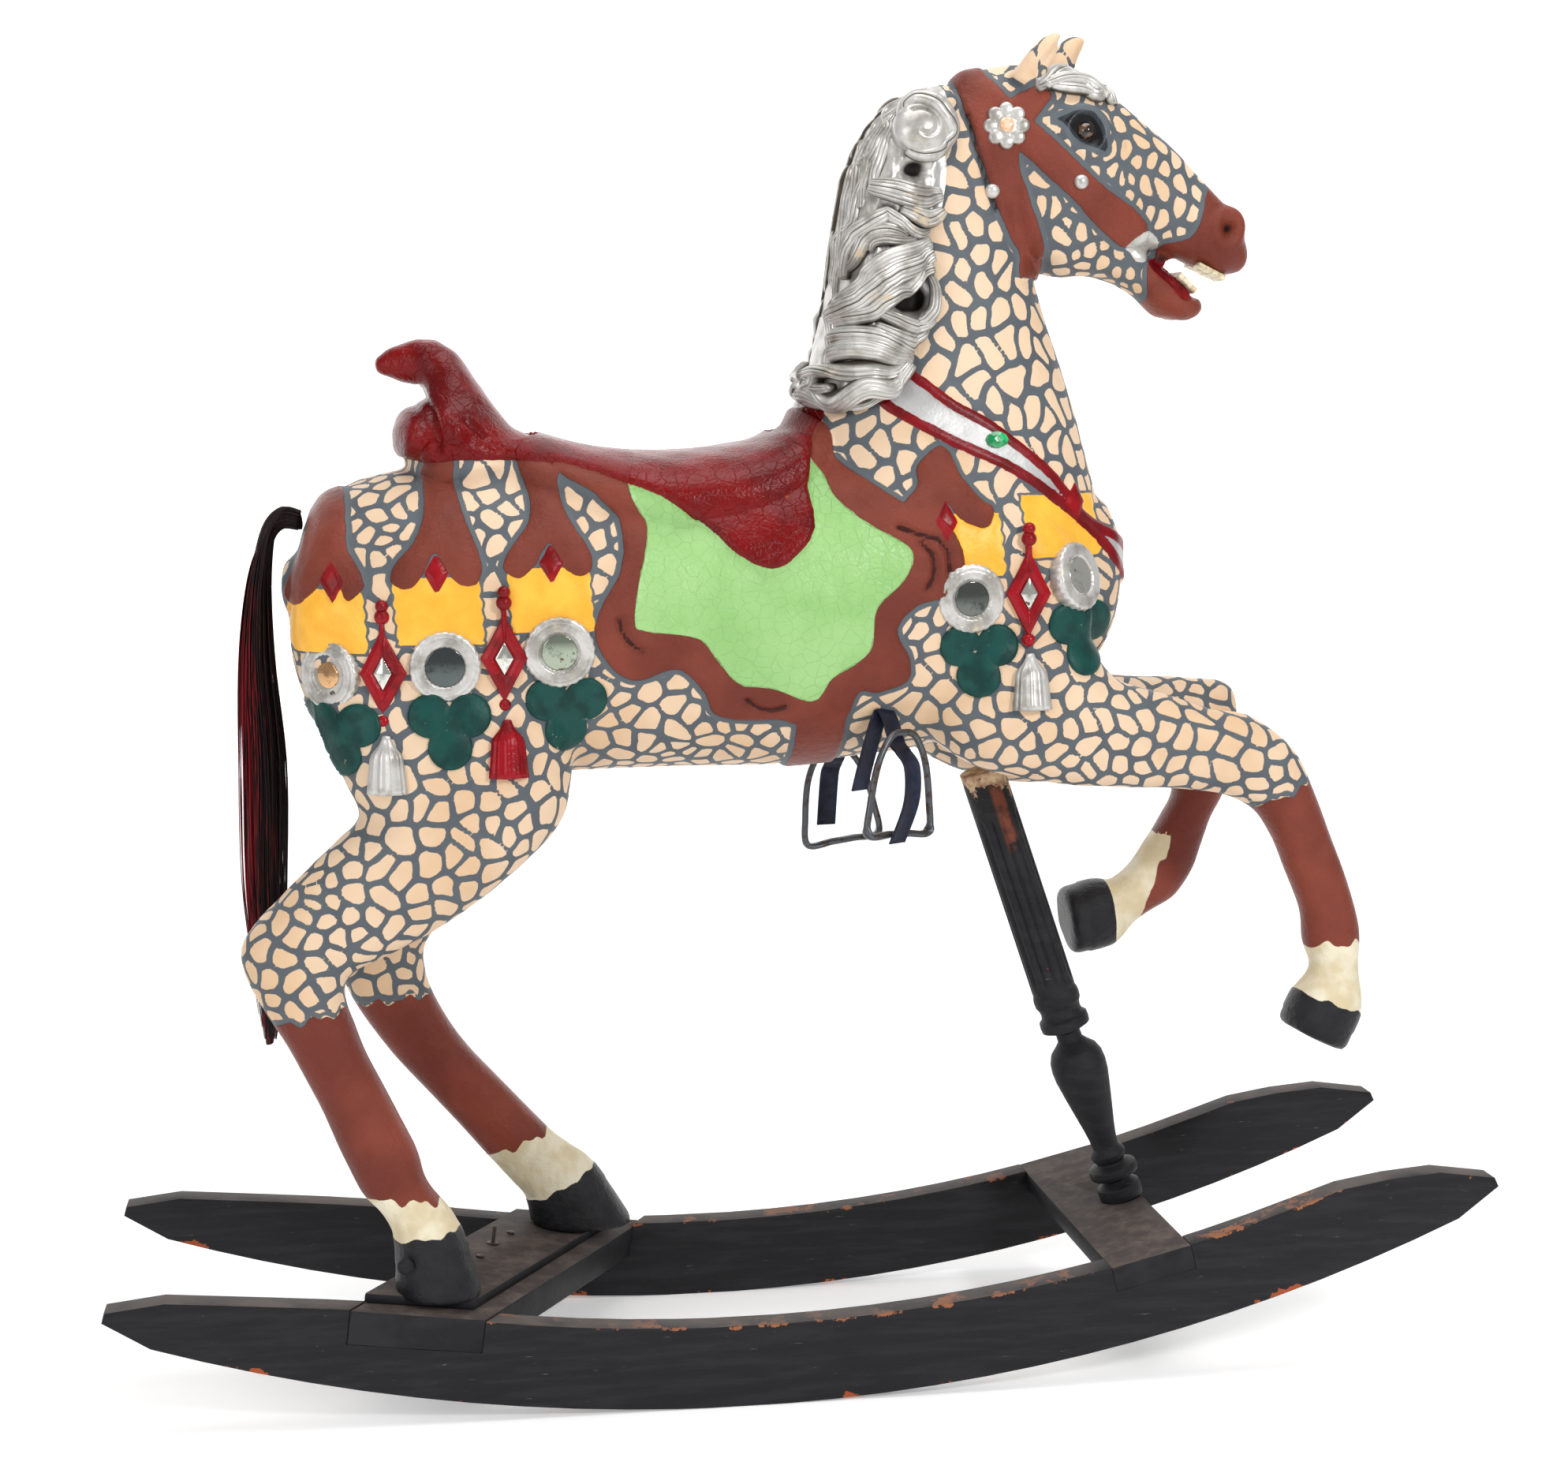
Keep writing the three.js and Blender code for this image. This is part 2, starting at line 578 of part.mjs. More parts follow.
function medallion(drop, side) {
  const frame = placeOn(trunkMesh, drop.x, drop.z, side);
  const outer = ringRadius * share;
  const inner = drop.mirror * share;
  const profile = [
    [0, -ornamentRoot], [outer, -ornamentRoot], [outer, reliefHeight], [ringBevel * outer, medallionHeight],
    [0, medallionHeight - ringDish],
  ];
  const seat = medallionHeight - mirrorInset - mirrorDepth;
  const open = 3 * medallionHeight;
  const socketProfile = [[0, seat], [inner + fit, seat], [inner + fit, open], [0, open]];
  const face = seat + mirrorDepth;
  const mirrorProfile = [[0, seat + fit], [inner, seat + fit], [inner, face], [0, face + mirrorBulge]];
  ringSockets.push(outward(lathe(socketProfile, ringSides).applyMatrix4(frame)));
  mirrors.push(outward(lathe(mirrorProfile, ringSides).applyMatrix4(frame)));
  return outward(lathe(profile, ringSides).applyMatrix4(frame));
}

function pendant({ x, z }, side) {
  const frame = placeOn(trunkMesh, x, z, side);
  const shape = outward(slab(pendantOutline, -ornamentRoot, pendantHeight).applyMatrix4(frame));
  const narrowest = pendantMirror[3][0] * share;
  const spread = 1 + 2 * fit / narrowest;
  const socket = pendantMirror.map(([px, pz]) => [px * spread, pz * spread]);
  const seat = pendantHeight - mirrorDepth;
  ringSockets.push(outward(slab(socket, seat, 4 * pendantHeight).applyMatrix4(frame)));
  mirrors.push(outward(slab(pendantMirror, seat + fit, pendantHeight + fit).applyMatrix4(frame)));
  return shape;
}

function tassel({ x, z }, side) {
  const frame = placeOn(trunkMesh, x + tasselPlace.x, z + tasselPlace.z, side);
  const profile = tasselProfile.map(([r, h]) => new THREE.Vector2(r * share, h * share));
  const geometry = new THREE.LatheGeometry(profile, tasselSides);
  geometry.scale(1, 1, tasselFlatness);
  return outward(geometry.applyMatrix4(frame));
}

// The strap that a drop hangs from, with its flared and pointed end
const strapEnd = {
  topHalf: 1.8, neckHalf: 2.0, neck: 6.0, shoulder: 1.4, point: -0.6, notch: 2.2, pointShare: 0.84,
};

function strapOutline({ strapTop, panelTop, panelX, panelWidth }) {
  const half = panelWidth / 2;
  const { topHalf, neckHalf, neck, shoulder, point, notch, pointShare } = strapEnd;
  const right = [
    [topHalf, strapTop], [neckHalf, panelTop + neck],
    [half, panelTop + shoulder], [pointShare * half, panelTop + point],
  ];
  const left = right.map(([x, z]) => [-x, z]).reverse();
  return [...right, [0, panelTop + notch], ...left].map(([x, z]) => [panelX + x, z]);
}

function trefoil({ x, z, leafX }, side) {
  const frame = placeOn(trunkMesh, x + leafX, z - leafDrop, side);
  const points = [];
  for (let i = 0; i < leafPoints; i += 1) {
    const angle = 2 * Math.PI * i / leafPoints;
    const radius = leafRadius * (1 - leafWaist * Math.sin(3 * angle));
    points.push([radius * Math.cos(angle), radius * Math.sin(angle)]);
  }
  return outward(slab(points, -ornamentRoot, reliefHeight).applyMatrix4(frame));
}

const clothRing = across(clothEdge).subtract(across(clothField));
const girthBox = across([
  [girth.back, girth.bottom], [girth.front, girth.bottom], [girth.front, girth.top], [girth.back, girth.top],
]);
const reliefPrisms = joined([
  clothRing,
  girthBox,
  across(breastStrap),
  ...drops.filter(({ strapTop }) => strapTop > 0).map((drop) => across(strapOutline(drop), true)),
]);
const relief = trunk(reliefHeight).intersect(reliefPrisms);
const flap = trunk(flapHeight).intersect(across(flapEdge));
const bridle = limb(headStations, { dome: 0.5, grow: reliefHeight })
  .intersect(joined(bridleStraps.map(({ from, to, width }) => across(strip(from, to, width)))));

function rosetteSolid(side) {
  const frame = placeOn(headMesh, rosette.x, rosette.z, side, 1.5);
  const points = [];
  const steps = rosette.petals * 2;
  for (let i = 0; i < steps; i += 1) {
    const angle = 2 * Math.PI * i / steps;
    const radius = rosette.radius * (1 - rosetteScallop + rosetteScallop * Math.cos(rosette.petals * angle));
    points.push([radius * Math.cos(angle), radius * Math.sin(angle)]);
  }
  return outward(slab(points, -ornamentRoot, rosetteHeight).applyMatrix4(frame));
}

// The head of the bolt that holds the right hind hoof to the plate
const boltHead = new THREE.SphereGeometry(boltHeadRadius, 8, 4);
boltHead.scale(1, boltHeadHeight / boltHeadRadius, 1);
boltHead.translate(boltPlace.x * share, boltPlace.y * share, boltPlace.z * share);

const carved = joined([
  bareTrunk,
  outward(boltHead),
  limb(headStations, { dome: 0.5 }),
  limb(jawStations, { sides: 8, dome: 0.6 }),
  limb(nearHindStations, { sides: 8, dome: 0.02 }),
  limb(farHindStations, { sides: 8, dome: 0.02 }),
  limb(nearForeStations, { sides: 8, dome: 0.02 }),
  limb(farForeStations, { sides: 8, dome: 0.02 }),
  limb(nearEarStations, { sides: 6, dome: 0.3 }),
  limb(farEarStations, { sides: 6, dome: 0.3 }),
  limb(maneStations, { sides: 12, dome: 0.3 }),
  limb(forelockStations, { sides: 8, dome: 0.4 }),
  limb(seatStations, { sides: 14 }),
  limb(cantleStations, { sides: 10, dome: 0.6 }),
  relief,
  flap,
  bridle,
  ...cantleLobes.map(({ at, size }) => outward(ellipsoid(at, size, 8))),
  ...locks.map((lock) => limb(lockStations(lock), { sides: 5, full: 2, dome: 0.8 })),
  ...sides.flatMap((side) => [
    ...drops.map((drop) => medallion(drop, side)),
    ...drops.map((drop) => trefoil(drop, side)),
    ...pendants.map((each) => pendant(each, side)),
    ...pendants.map((each) => tassel(each, side)),
    rosetteSolid(side),
  ]),
]);

// Mirrors, jewels and eyes with their sockets
function socketed(makeGeometry) {
  return { piece: outward(makeGeometry(0)), socket: outward(makeGeometry(fit)) };
}

function bridleJewel(side) {
  const frame = placeOn(headMesh, rosette.x, rosette.z, side, 1.5);
  return socketed((gap) => {
    const radius = rosette.jewel * share + gap;
    const geometry = new THREE.SphereGeometry(radius, 8, 4);
    geometry.translate(0, 0, rosetteHeight - jewelRise / 2);
    return geometry.applyMatrix4(frame);
  });
}

function breastJewelPiece(side) {
  const frame = placeOn(trunkMesh, breastJewel.x, breastJewel.z, side);
  return socketed((gap) => {
    const geometry = new THREE.SphereGeometry(1, 10, 4);
    geometry.scale(breastJewel.length * share + gap, breastJewel.height * share + gap, 1.5 * jewelRise + gap);
    geometry.translate(0, 0, reliefHeight);
    return geometry.applyMatrix4(frame);
  });
}

function glassEye(side) {
  return socketed((gap) => {
    const geometry = new THREE.SphereGeometry(eyeRadius + gap, 10, 6);
    geometry.translate(eye.x * share, side * eye.y * share, eye.z * share);
    return geometry;
  });
}

function nostrilHollow(side) {
  const [x, y, z] = nostril.at;
  return outward(ellipsoid([x, side * y, z], nostril.size, 8));
}

const jewels = sides.flatMap((side) => [
  { name: side < 0 ? 'glass_eye_right' : 'glass_eye_left', ...glassEye(side) },
  { name: side < 0 ? 'bridle_jewel_right' : 'bridle_jewel_left', ...bridleJewel(side) },
  { name: side < 0 ? 'breast_jewel_right' : 'breast_jewel_left', ...breastJewelPiece(side) },
]);

// Materials
function finish(color, roughness, metalness = 0) {
  return new THREE.MeshStandardMaterial({ color, roughness, metalness });
}
const creamPaint = finish(0xe8cda8, 0.5);
const blackPaint = finish(0x242528, 0.6);
const dustyPaint = finish(0x4c4642, 0.85);
const mirrorGlass = finish(0xb8bcb8, 0.12, 0.9);
const brownGlass = finish(0x3a2a1c, 0.15);
const greenGlass = finish(0x1f8a4c, 0.15);
const peachGlass = finish(0xe0ab84, 0.2);
const iron = finish(0x4a4c4e, 0.45, 0.8);
const leather = finish(0x1c2030, 0.6);
const hair = finish(0x3a0d10, 0.7);
const steel = finish(0x3a3836, 0.5, 0.8);

// Assembly
const part = new THREE.Group();
const figure = new THREE.Group();
figure.position.z = soleHeight;
part.add(figure);

function add(group, name, solid, material) {
  const mesh = new THREE.Mesh(toGeometry(solid), material);
  mesh.name = name;
  group.add(mesh);
}

// Rockers
const boardTop = rockerRadius - boardHeight;
const centreHeight = Math.sqrt(rockerRadius ** 2 - (restFlat / 2) ** 2);
const halfAngle = Math.asin(rockerSpan / 2 / (rockerRadius - tipHeight / 2));

function rockerPoint(angle, radius) {
  return [radius * Math.sin(angle), centreHeight - radius * Math.cos(angle)];
}

// Angles along a rocker, with two of them at the ends of the flat it rests on
const flatAngle = Math.asin(restFlat / 2 / rockerRadius);
const rockerStep = 2 * halfAngle / rockerSteps;

function rockerAngles() {
  const angles = [];
  for (let angle = -halfAngle; angle < halfAngle - rockerStep / 2; angle += rockerStep) {
    if (Math.abs(angle + rockerLean) > flatAngle + rockerStep / 3) {
      angles.push(angle);
    }
  }
  angles.push(-rockerLean - flatAngle, -rockerLean + flatAngle, halfAngle);
  return angles.sort((a, b) => a - b);
}

function rockerOutline() {
  const bottom = [];
  const top = [];
  const tipRound = tipHeight * tipRoundShare;
  for (const angle of rockerAngles()) {
    const fromTip = (halfAngle - Math.abs(angle)) * rockerRadius;
    const taper = angle < 0 ? tailTaper : noseTaper;
    const ease = 1 - (1 - Math.min(1, fromTip / taper)) ** 1.5;
    const height = tipHeight + (boardHeight - tipHeight) * ease;
    const pinch = fromTip < 1 ? tipRound : 0;
    const [bx, bz] = rockerPoint(angle + rockerLean, rockerRadius - pinch);
    const [tx, tz] = rockerPoint(angle + rockerLean, rockerRadius - height + pinch);
    bottom.push([bx, Math.max(0, bz)]);
    top.push([tx, tz]);
  }
  return bottom.concat(top.reverse());
}

const outline = rockerOutline();
const outlineX = outline.map(([x]) => x);
const contactX = -(Math.max(...outlineX) + Math.min(...outlineX)) / 2;

function boardSolid(side) {
  const shape = new THREE.Shape(outline.map(([x, z]) => new THREE.Vector2(x + contactX, z)));
  const geometry = new THREE.ExtrudeGeometry(shape, { depth: boardThickness, bevelEnabled: false });
  geometry.rotateX(Math.PI / 2);
  const outerFace = rockerTrack / 2;
  geometry.translate(0, side < 0 ? -outerFace + boardThickness : outerFace, 0);
  return outward(geometry);
}

// The height of the rockers' top edge at a place along them
function rockerTop(x) {
  return centreHeight - Math.sqrt(boardTop ** 2 - (x - contactX) ** 2);
}

function rockerSlope(x) {
  return (x - contactX) / (centreHeight - rockerTop(x));
}

// A bar let in flush with both rockers, from its place on the right rocker to
// its place on the left one
function barFrame(rightX, leftX) {
  const reach = rockerTrack / 2 - boardThickness / 2;
  const right = new THREE.Vector3(rightX, -reach, rockerTop(rightX));
  const left = new THREE.Vector3(leftX, reach, rockerTop(leftX));
  const along = left.clone().sub(right).normalize();
  const slope = (rockerSlope(rightX) + rockerSlope(leftX)) / 2;
  const up = new THREE.Vector3(1, 0, slope).cross(along).normalize();
  const forward = new THREE.Vector3().crossVectors(along, up);
  const centre = right.add(left).multiplyScalar(0.5);
  return new THREE.Matrix4().makeBasis(forward, along, up).setPosition(centre);
}

function barSolid(frame, { width, length, low, high, shift = 0, gap = 0 }) {
  const geometry = new THREE.BoxGeometry(width + 2 * gap, length, high - low + gap);
  geometry.translate(shift, 0, (low + high) / 2 - gap / 2);
  return outward(geometry.applyMatrix4(frame));
}

function slabAcross(reach) {
  const geometry = new THREE.BoxGeometry(2 * rockerSpan, 2 * reach, 2 * horseHeight);
  return outward(geometry);
}

const barLength = 1.6 * rockerTrack;
const frontFrame = barFrame(frontBarX, frontBarX);
const rearFrame = barFrame(rearBarNearX, rearBarFarX);
const frontBar = { width: frontBarWidth, length: barLength, low: -frontBarThickness, high: 0 };
const rearBar = { width: rearBarWidth, length: barLength, low: -rearBarThickness, high: 0 };
const betweenFaces = slabAcross(rockerTrack / 2);
const frontSolid = barSolid(frontFrame, frontBar).intersect(betweenFaces);
const rearSolid = barSolid(rearFrame, rearBar).intersect(betweenFaces);
const notches = joined([
  barSolid(frontFrame, { ...frontBar, high: boardHeight, gap: fit }),
  barSolid(rearFrame, { ...rearBar, high: boardHeight, gap: fit }),
]);
const plate = {
  width: rearBarWidth - plateStep,
  length: barLength,
  low: fit,
  high: plateThickness,
  shift: -plateStep / 2,
};
const plateSolid = barSolid(rearFrame, plate).intersect(slabAcross(rockerTrack / 2 - plateEndInset));
const footing = barSolid(rearFrame, { ...plate, low: -rearBarThickness, high: plateThickness + fit })
  .intersect(slabAcross(rockerTrack / 2 - plateEndInset + fit))
  .add(barSolid(rearFrame, { ...rearBar, length: 2 * barLength, high: fit }));

// Screws in the plate, at their places along and across it
const screws = [
  { name: 'plate_screw_standing', along: 20, across: -30, radius: standingScrewRadius, height: standingScrewHeight },
  { name: 'plate_screw_near', along: -40, across: -20, radius: screwHeadRadius, height: screwHeadHeight },
  { name: 'plate_screw_far', along: 75, across: -30, radius: screwHeadRadius, height: screwHeadHeight },
];

function screwSolid({ along, across: offset, radius, height }) {
  const top = plateThickness;
  const wide = radius < screwHeadRadius ? washerRadius : radius;
  const profile = [
    [0, top + fit], [wide, top + fit], [wide, top + fit + washerThickness],
    [radius, top + fit + washerThickness + fit], [radius, top + height], [0, top + height + fit],
  ];
  const geometry = lathe(profile, 8);
  geometry.translate(offset, along, 0);
  return outward(geometry.applyMatrix4(rearFrame));
}

// The post
const postTop = new THREE.Vector3(postTopX, 0, postTopHeight);
const postFoot = new THREE.Vector3(postFootX, 0, rockerTop(postFootX) - postFootDepth);
const postLength = postTop.distanceTo(postFoot);
const postAxis = postTop.clone().sub(postFoot).normalize();
const postFrame = new THREE.Matrix4()
  .makeRotationFromQuaternion(new THREE.Quaternion().setFromUnitVectors(new THREE.Vector3(0, 0, 1), postAxis))
  .setPosition(postFoot);

function postSolid(gap) {
  const shaft = postShaftRadius + gap;
  const turned = [
    [0, -gap], [postFootRadius + gap, -gap], [postFootRadius + gap, 8], [27.5, 12], [27.5, 30], [17, 37],
    [31, 43], [31, 55], [17, 61], [22, 68], [22, 76], [16, 82], [20, 110], [30, 158],
    [postVaseRadius, 194], [29, 216], [15.5, 230], [15.5, 243],
    [postCollarRadius, 248], [postCollarRadius, 262], [25, 270], [29, 281], [29, 294],
    [shaft, postShaftStart - 4], [shaft, postLength + gap], [0, postLength + gap],
  ];
  return outward(lathe(turned, 12).applyMatrix4(postFrame));
}

// The fluted stretch of the shaft, a star with blunt ridges
function flutedShaft() {
  const points = [];
  const corners = 3;
  for (let i = 0; i < corners * postFluteCount; i += 1) {
    const angle = 2 * Math.PI * i / (corners * postFluteCount);
    const radius = i % corners === 0 ? postShaftRadius - postFluteDepth : postShaftRadius;
    points.push(new THREE.Vector2(radius * Math.cos(angle), radius * Math.sin(angle)));
  }
  const depth = postLength - postPlainEnd - postShaftStart + 1;
  const geometry = new THREE.ExtrudeGeometry(new THREE.Shape(points), { depth, bevelEnabled: false });
  geometry.translate(0, 0, postShaftStart - 0.5);
  return outward(geometry.applyMatrix4(postFrame));
}

function carvedPost() {
  const stretch = new THREE.CylinderGeometry(2 * postShaftRadius, 2 * postShaftRadius, 1, 12);
  stretch.rotateX(Math.PI / 2);
  stretch.scale(1, 1, postLength - postPlainEnd - postShaftStart);
  stretch.translate(0, 0, (postLength - postPlainEnd + postShaftStart) / 2);
  return postSolid(0).subtract(outward(stretch.applyMatrix4(postFrame))).add(flutedShaft());
}

// Stirrups
function ironSolid() {
  const w = ironWidth / 2;
  const h = ironHeight;
  const curve = new THREE.CatmullRomCurve3([
    [-w, 0], [-0.3 * w, -1], [0.3 * w, -1], [w, 0], [0.98 * w, 0.3 * h], [0.78 * w, 0.7 * h], [0.4 * w, 0.96 * h],
    [0, h], [-0.4 * w, 0.96 * h], [-0.78 * w, 0.7 * h], [-0.98 * w, 0.3 * h],
  ].map(([x, z]) => new THREE.Vector3(x, 0, z - h)), true, 'catmullrom', 0.5);
  const steps = 20;
  const sidesOfWire = 4;
  const points = [];
  const index = [];
  for (let i = 0; i < steps; i += 1) {
    const centre = curve.getPoint(i / steps);
    const tangent = curve.getTangent(i / steps);
    const inward = new THREE.Vector3(-tangent.z, 0, tangent.x);
    for (let j = 0; j < sidesOfWire; j += 1) {
      const angle = 2 * Math.PI * j / sidesOfWire;
      const thick = centre.z < -0.97 * h ? 1.8 : 1;
      const p = centre.clone().addScaledVector(inward, ironWire * Math.cos(angle));
      p.y += ironWire * thick * Math.sin(angle);
      points.push(...p.toArray());
      const a = i * sidesOfWire + j;
      const b = i * sidesOfWire + (j + 1) % sidesOfWire;
      const c = (a + sidesOfWire) % (steps * sidesOfWire);
      const d = (b + sidesOfWire) % (steps * sidesOfWire);
      index.push(a, b, c, b, d, c);
    }
  }
  const geometry = new THREE.BufferGeometry();
  geometry.setAttribute('position', new THREE.Float32BufferAttribute(points, 3));
  geometry.setIndex(index);
  return geometry;
}

function band(points, widthDirection) {
  const curve = new THREE.CatmullRomCurve3(points.map((p) => new THREE.Vector3(...p).multiplyScalar(share)));
  const steps = 7;
  const rings = [];
  for (let i = 0; i <= steps; i += 1) {
    const centre = curve.getPoint(i / steps);
    const normal = curve.getTangent(i / steps).cross(widthDirection).normalize();
    rings.push([[1, 1], [1, -1], [-1, -1], [-1, 1]].map(([a, b]) => centre.clone()
      .addScaledVector(widthDirection, a * strapWidth / 2)
      .addScaledVector(normal, b * strapThickness / 2)));
  }
  const middle = (ring) => ring[0].clone().add(ring[2]).multiplyScalar(0.5);
  return outward(skin(rings, middle(rings[0]), middle(rings[steps])));
}

const stirrups = [
  {
    name: 'right',
    ironTop: [10.0, -16.2, 66.6],
    turn: 0.55,
    swing: 0.06,
    long: [
      [8.4, -12.6, 69.0], [8.9, -13.8, 67.8], [9.5, -15.0, 65.2], [10.0, -16.2, 64.3],
      [10.8, -17.4, 62.6], [10.6, -18.0, 58.6], [8.8, -18.6, 54.0],
    ],
    short: [[8.2, -12.6, 69.0], [7.4, -13.4, 67.4], [6.2, -12.9, 62.6], [5.5, -12.6, 59.4]],
  },
  {
    name: 'left',
    ironTop: [7.4, 15.0, 60.6],
    turn: 0.15,
    swing: -0.12,
    long: [
      [8.4, 12.6, 69.0], [8.5, 13.8, 67.4], [8.1, 13.7, 62.0], [7.6, 14.0, 59.6],
      [7.4, 15.1, 58.5], [7.2, 16.3, 56.8], [6.8, 16.4, 50.6],
    ],
    short: [[8.6, 12.6, 69.0], [9.6, 13.6, 67.0], [10.8, 13.2, 63.6], [11.2, 13.0, 60.4]],
  },
];

function stirrupPieces({ ironTop, turn, swing, long, short }) {
  const widthDirection = new THREE.Vector3(Math.cos(turn), Math.sin(turn), 0);
  const strap = band(long, widthDirection).add(band(short, widthDirection));
  const geometry = ironSolid();
  geometry.rotateY(swing);
  geometry.rotateZ(turn);
  geometry.translate(...ironTop.map((v) => v * share));
  return { strap, iron: outward(geometry) };
}

function slotCut(side) {
  const geometry = new THREE.BoxGeometry(1.3 * strapWidth, 2.4 * share, 1.6 * share);
  geometry.translate(strapSlot.x * share, side * strapSlot.y * share, strapSlot.z * share);
  return outward(geometry);
}

// The tail, a hank of horsehair from a hole in the rump
const tailStations = [
  [-59.0, 92.2, -58.6, 89.9, 1.2],
  [-61.2, 92.6, -60.6, 90.0, 1.3],
  [-63.6, 90.2, -61.6, 88.2, 1.5],
  [-65.2, 84.0, -62.2, 83.4, 2.0],
  [-66.3, 74.4, -62.0, 74.4, 2.5],
  [-66.6, 62.0, -60.9, 62.0, 3.0],
  [-66.6, 48.0, -61.2, 48.0, 2.8],
  [-65.4, 36.0, -61.8, 36.0, 2.0],
  [-64.4, 28.6, -63.0, 28.8, 0.8],
];

const postHole = toSolid(toGeometry(postSolid(fit)).translate(0, 0, -soleHeight));
const footingCut = toSolid(toGeometry(footing).translate(0, 0, -soleHeight));
const cuts = joined([
  ...ringSockets,
  ...jewels.map(({ socket }) => socket),
  ...sides.map(nostrilHollow),
  ...sides.map(slotCut),
  postHole,
  footingCut,
]);
const horse = carved.subtract(cuts);
add(figure, 'horse_body', horse, creamPaint);

const mirrorNames = sides.flatMap((side) => [
  ...drops.map((_, i) => `ring_mirror_${side < 0 ? 'right' : 'left'}_${i + 1}`),
  ...pendants.map((_, i) => `diamond_mirror_${side < 0 ? 'right' : 'left'}_${i + 1}`),
]);
mirrors.forEach((mirror, i) => add(figure, mirrorNames[i], mirror, mirrorGlass));

const jewelGlass = { glass: brownGlass, bridle: peachGlass, breast: greenGlass };
jewels.forEach(({ name, piece }) => add(figure, name, piece, jewelGlass[name.split('_')[0]]));

const tailHole = limb(tailStations, { sides: 8, dome: 0.4 }).subtract(trunk(fit));
add(figure, 'tail', tailHole, hair);

stirrups.forEach((stirrup) => {
  const { strap, iron: ironPiece } = stirrupPieces(stirrup);
  add(figure, `stirrup_iron_${stirrup.name}`, ironPiece, iron);
  add(figure, `stirrup_leather_${stirrup.name}`, strap, leather);
});

add(part, 'rocker_right', boardSolid(-1).subtract(notches), blackPaint);
add(part, 'rocker_left', boardSolid(1).subtract(notches), blackPaint);
add(part, 'front_crossbar', frontSolid.subtract(postSolid(fit)), dustyPaint);
add(part, 'rear_crossbar', rearSolid, dustyPaint);
add(part, 'hoof_plate', plateSolid, dustyPaint);
add(part, 'post', carvedPost(), blackPaint);
screws.forEach((screw) => add(part, screw.name, screwSolid(screw), steel));

export default part;
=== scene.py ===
"""A carved and painted wooden horse on two rockers.

Metres, +Z up, and the horse faces +X. The figure's outlines are given in
shares: 148 shares to its height, measured from the hind soles.
"""

import math

import bpy
import numpy as np
from mathutils import Matrix, Vector
from mathutils.bvhtree import BVHTree

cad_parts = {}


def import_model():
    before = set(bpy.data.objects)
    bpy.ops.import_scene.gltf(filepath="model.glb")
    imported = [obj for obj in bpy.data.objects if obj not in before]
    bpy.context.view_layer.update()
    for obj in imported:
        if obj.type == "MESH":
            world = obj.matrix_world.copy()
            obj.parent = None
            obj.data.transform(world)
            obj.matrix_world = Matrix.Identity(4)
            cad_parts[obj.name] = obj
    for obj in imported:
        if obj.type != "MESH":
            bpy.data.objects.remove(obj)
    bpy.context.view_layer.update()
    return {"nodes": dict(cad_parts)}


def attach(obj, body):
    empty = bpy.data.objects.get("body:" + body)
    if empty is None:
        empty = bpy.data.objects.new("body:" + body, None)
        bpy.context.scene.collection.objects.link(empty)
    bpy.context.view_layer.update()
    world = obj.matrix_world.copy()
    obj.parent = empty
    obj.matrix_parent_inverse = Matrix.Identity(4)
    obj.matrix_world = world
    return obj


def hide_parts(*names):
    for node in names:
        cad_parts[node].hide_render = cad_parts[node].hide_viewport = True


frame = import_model()
rng = np.random.default_rng(7)

SHARE = 0.01
SOLE = 0.115
SIDES = ((-1, "right"), (1, "left"))
COARSE_VOXEL = 0.0055
FINE_VOXEL = 0.0042
KNOT_GAP, HEAD_KNOT_GAP, EAR_KNOT_GAP = 0.0250, 0.0178, 0.027
ROOT = -0.012



# Geometry
def world(x, y, z):
    return np.array([x * SHARE, y * SHARE, z * SHARE + SOLE])


def spline(rows, count):
    rows = np.asarray(rows, float)
    t = np.linspace(0, len(rows) - 1, count)
    i = np.minimum(t.astype(int), len(rows) - 2)
    f = (t - i)[:, None]
    a, b = rows[np.maximum(i - 1, 0)], rows[i]
    c, d = rows[i + 1], rows[np.minimum(i + 2, len(rows) - 1)]
    return 0.5 * (2 * b + (c - a) * f + (2 * a - 5 * b + 4 * c - d) * f**2 + (3 * (b - c) + d - a) * f**3)


def closed_spline(points, per_edge=6):
    points = np.asarray(points, float)
    around = np.vstack([points[-1], points, points[:2]])
    count = (len(points) + 2) * per_edge + 1
    return spline(around, count)[per_edge:-per_edge - 1]


def tube(rings, start_tip, end_tip):
    """Vertices and faces of a closed skin over rings of equal point counts."""
    n, m = rings.shape[:2]
    verts = np.vstack([rings.reshape(-1, 3), start_tip, end_tip])
    i, j = np.meshgrid(np.arange(n - 1), np.arange(m), indexing="ij")
    a, b = i * m + j, i * m + (j + 1) % m
    faces = np.stack([a, b, b + m, a + m], -1).reshape(-1, 4).tolist()
    start, end, last = n * m, n * m + 1, (n - 1) * m
    for k in range(m):
        faces.append([start, (k + 1) % m, k])
        faces.append([end, last + k, last + (k + 1) % m])
    if signed_volume(verts, faces) < 0:
        faces = [face[::-1] for face in faces]
    return verts, faces


def signed_volume(verts, faces):
    total = 0.0
    for size in (3, 4):
        group = np.array([f for f in faces if len(f) == size], int)
        for k in range(1, size - 1):
            if len(group):
                p, q, r = verts[group[:, 0]], verts[group[:, k]], verts[group[:, k + 1]]
                total += np.einsum("ij,ij->i", p, np.cross(q, r)).sum()
    return total


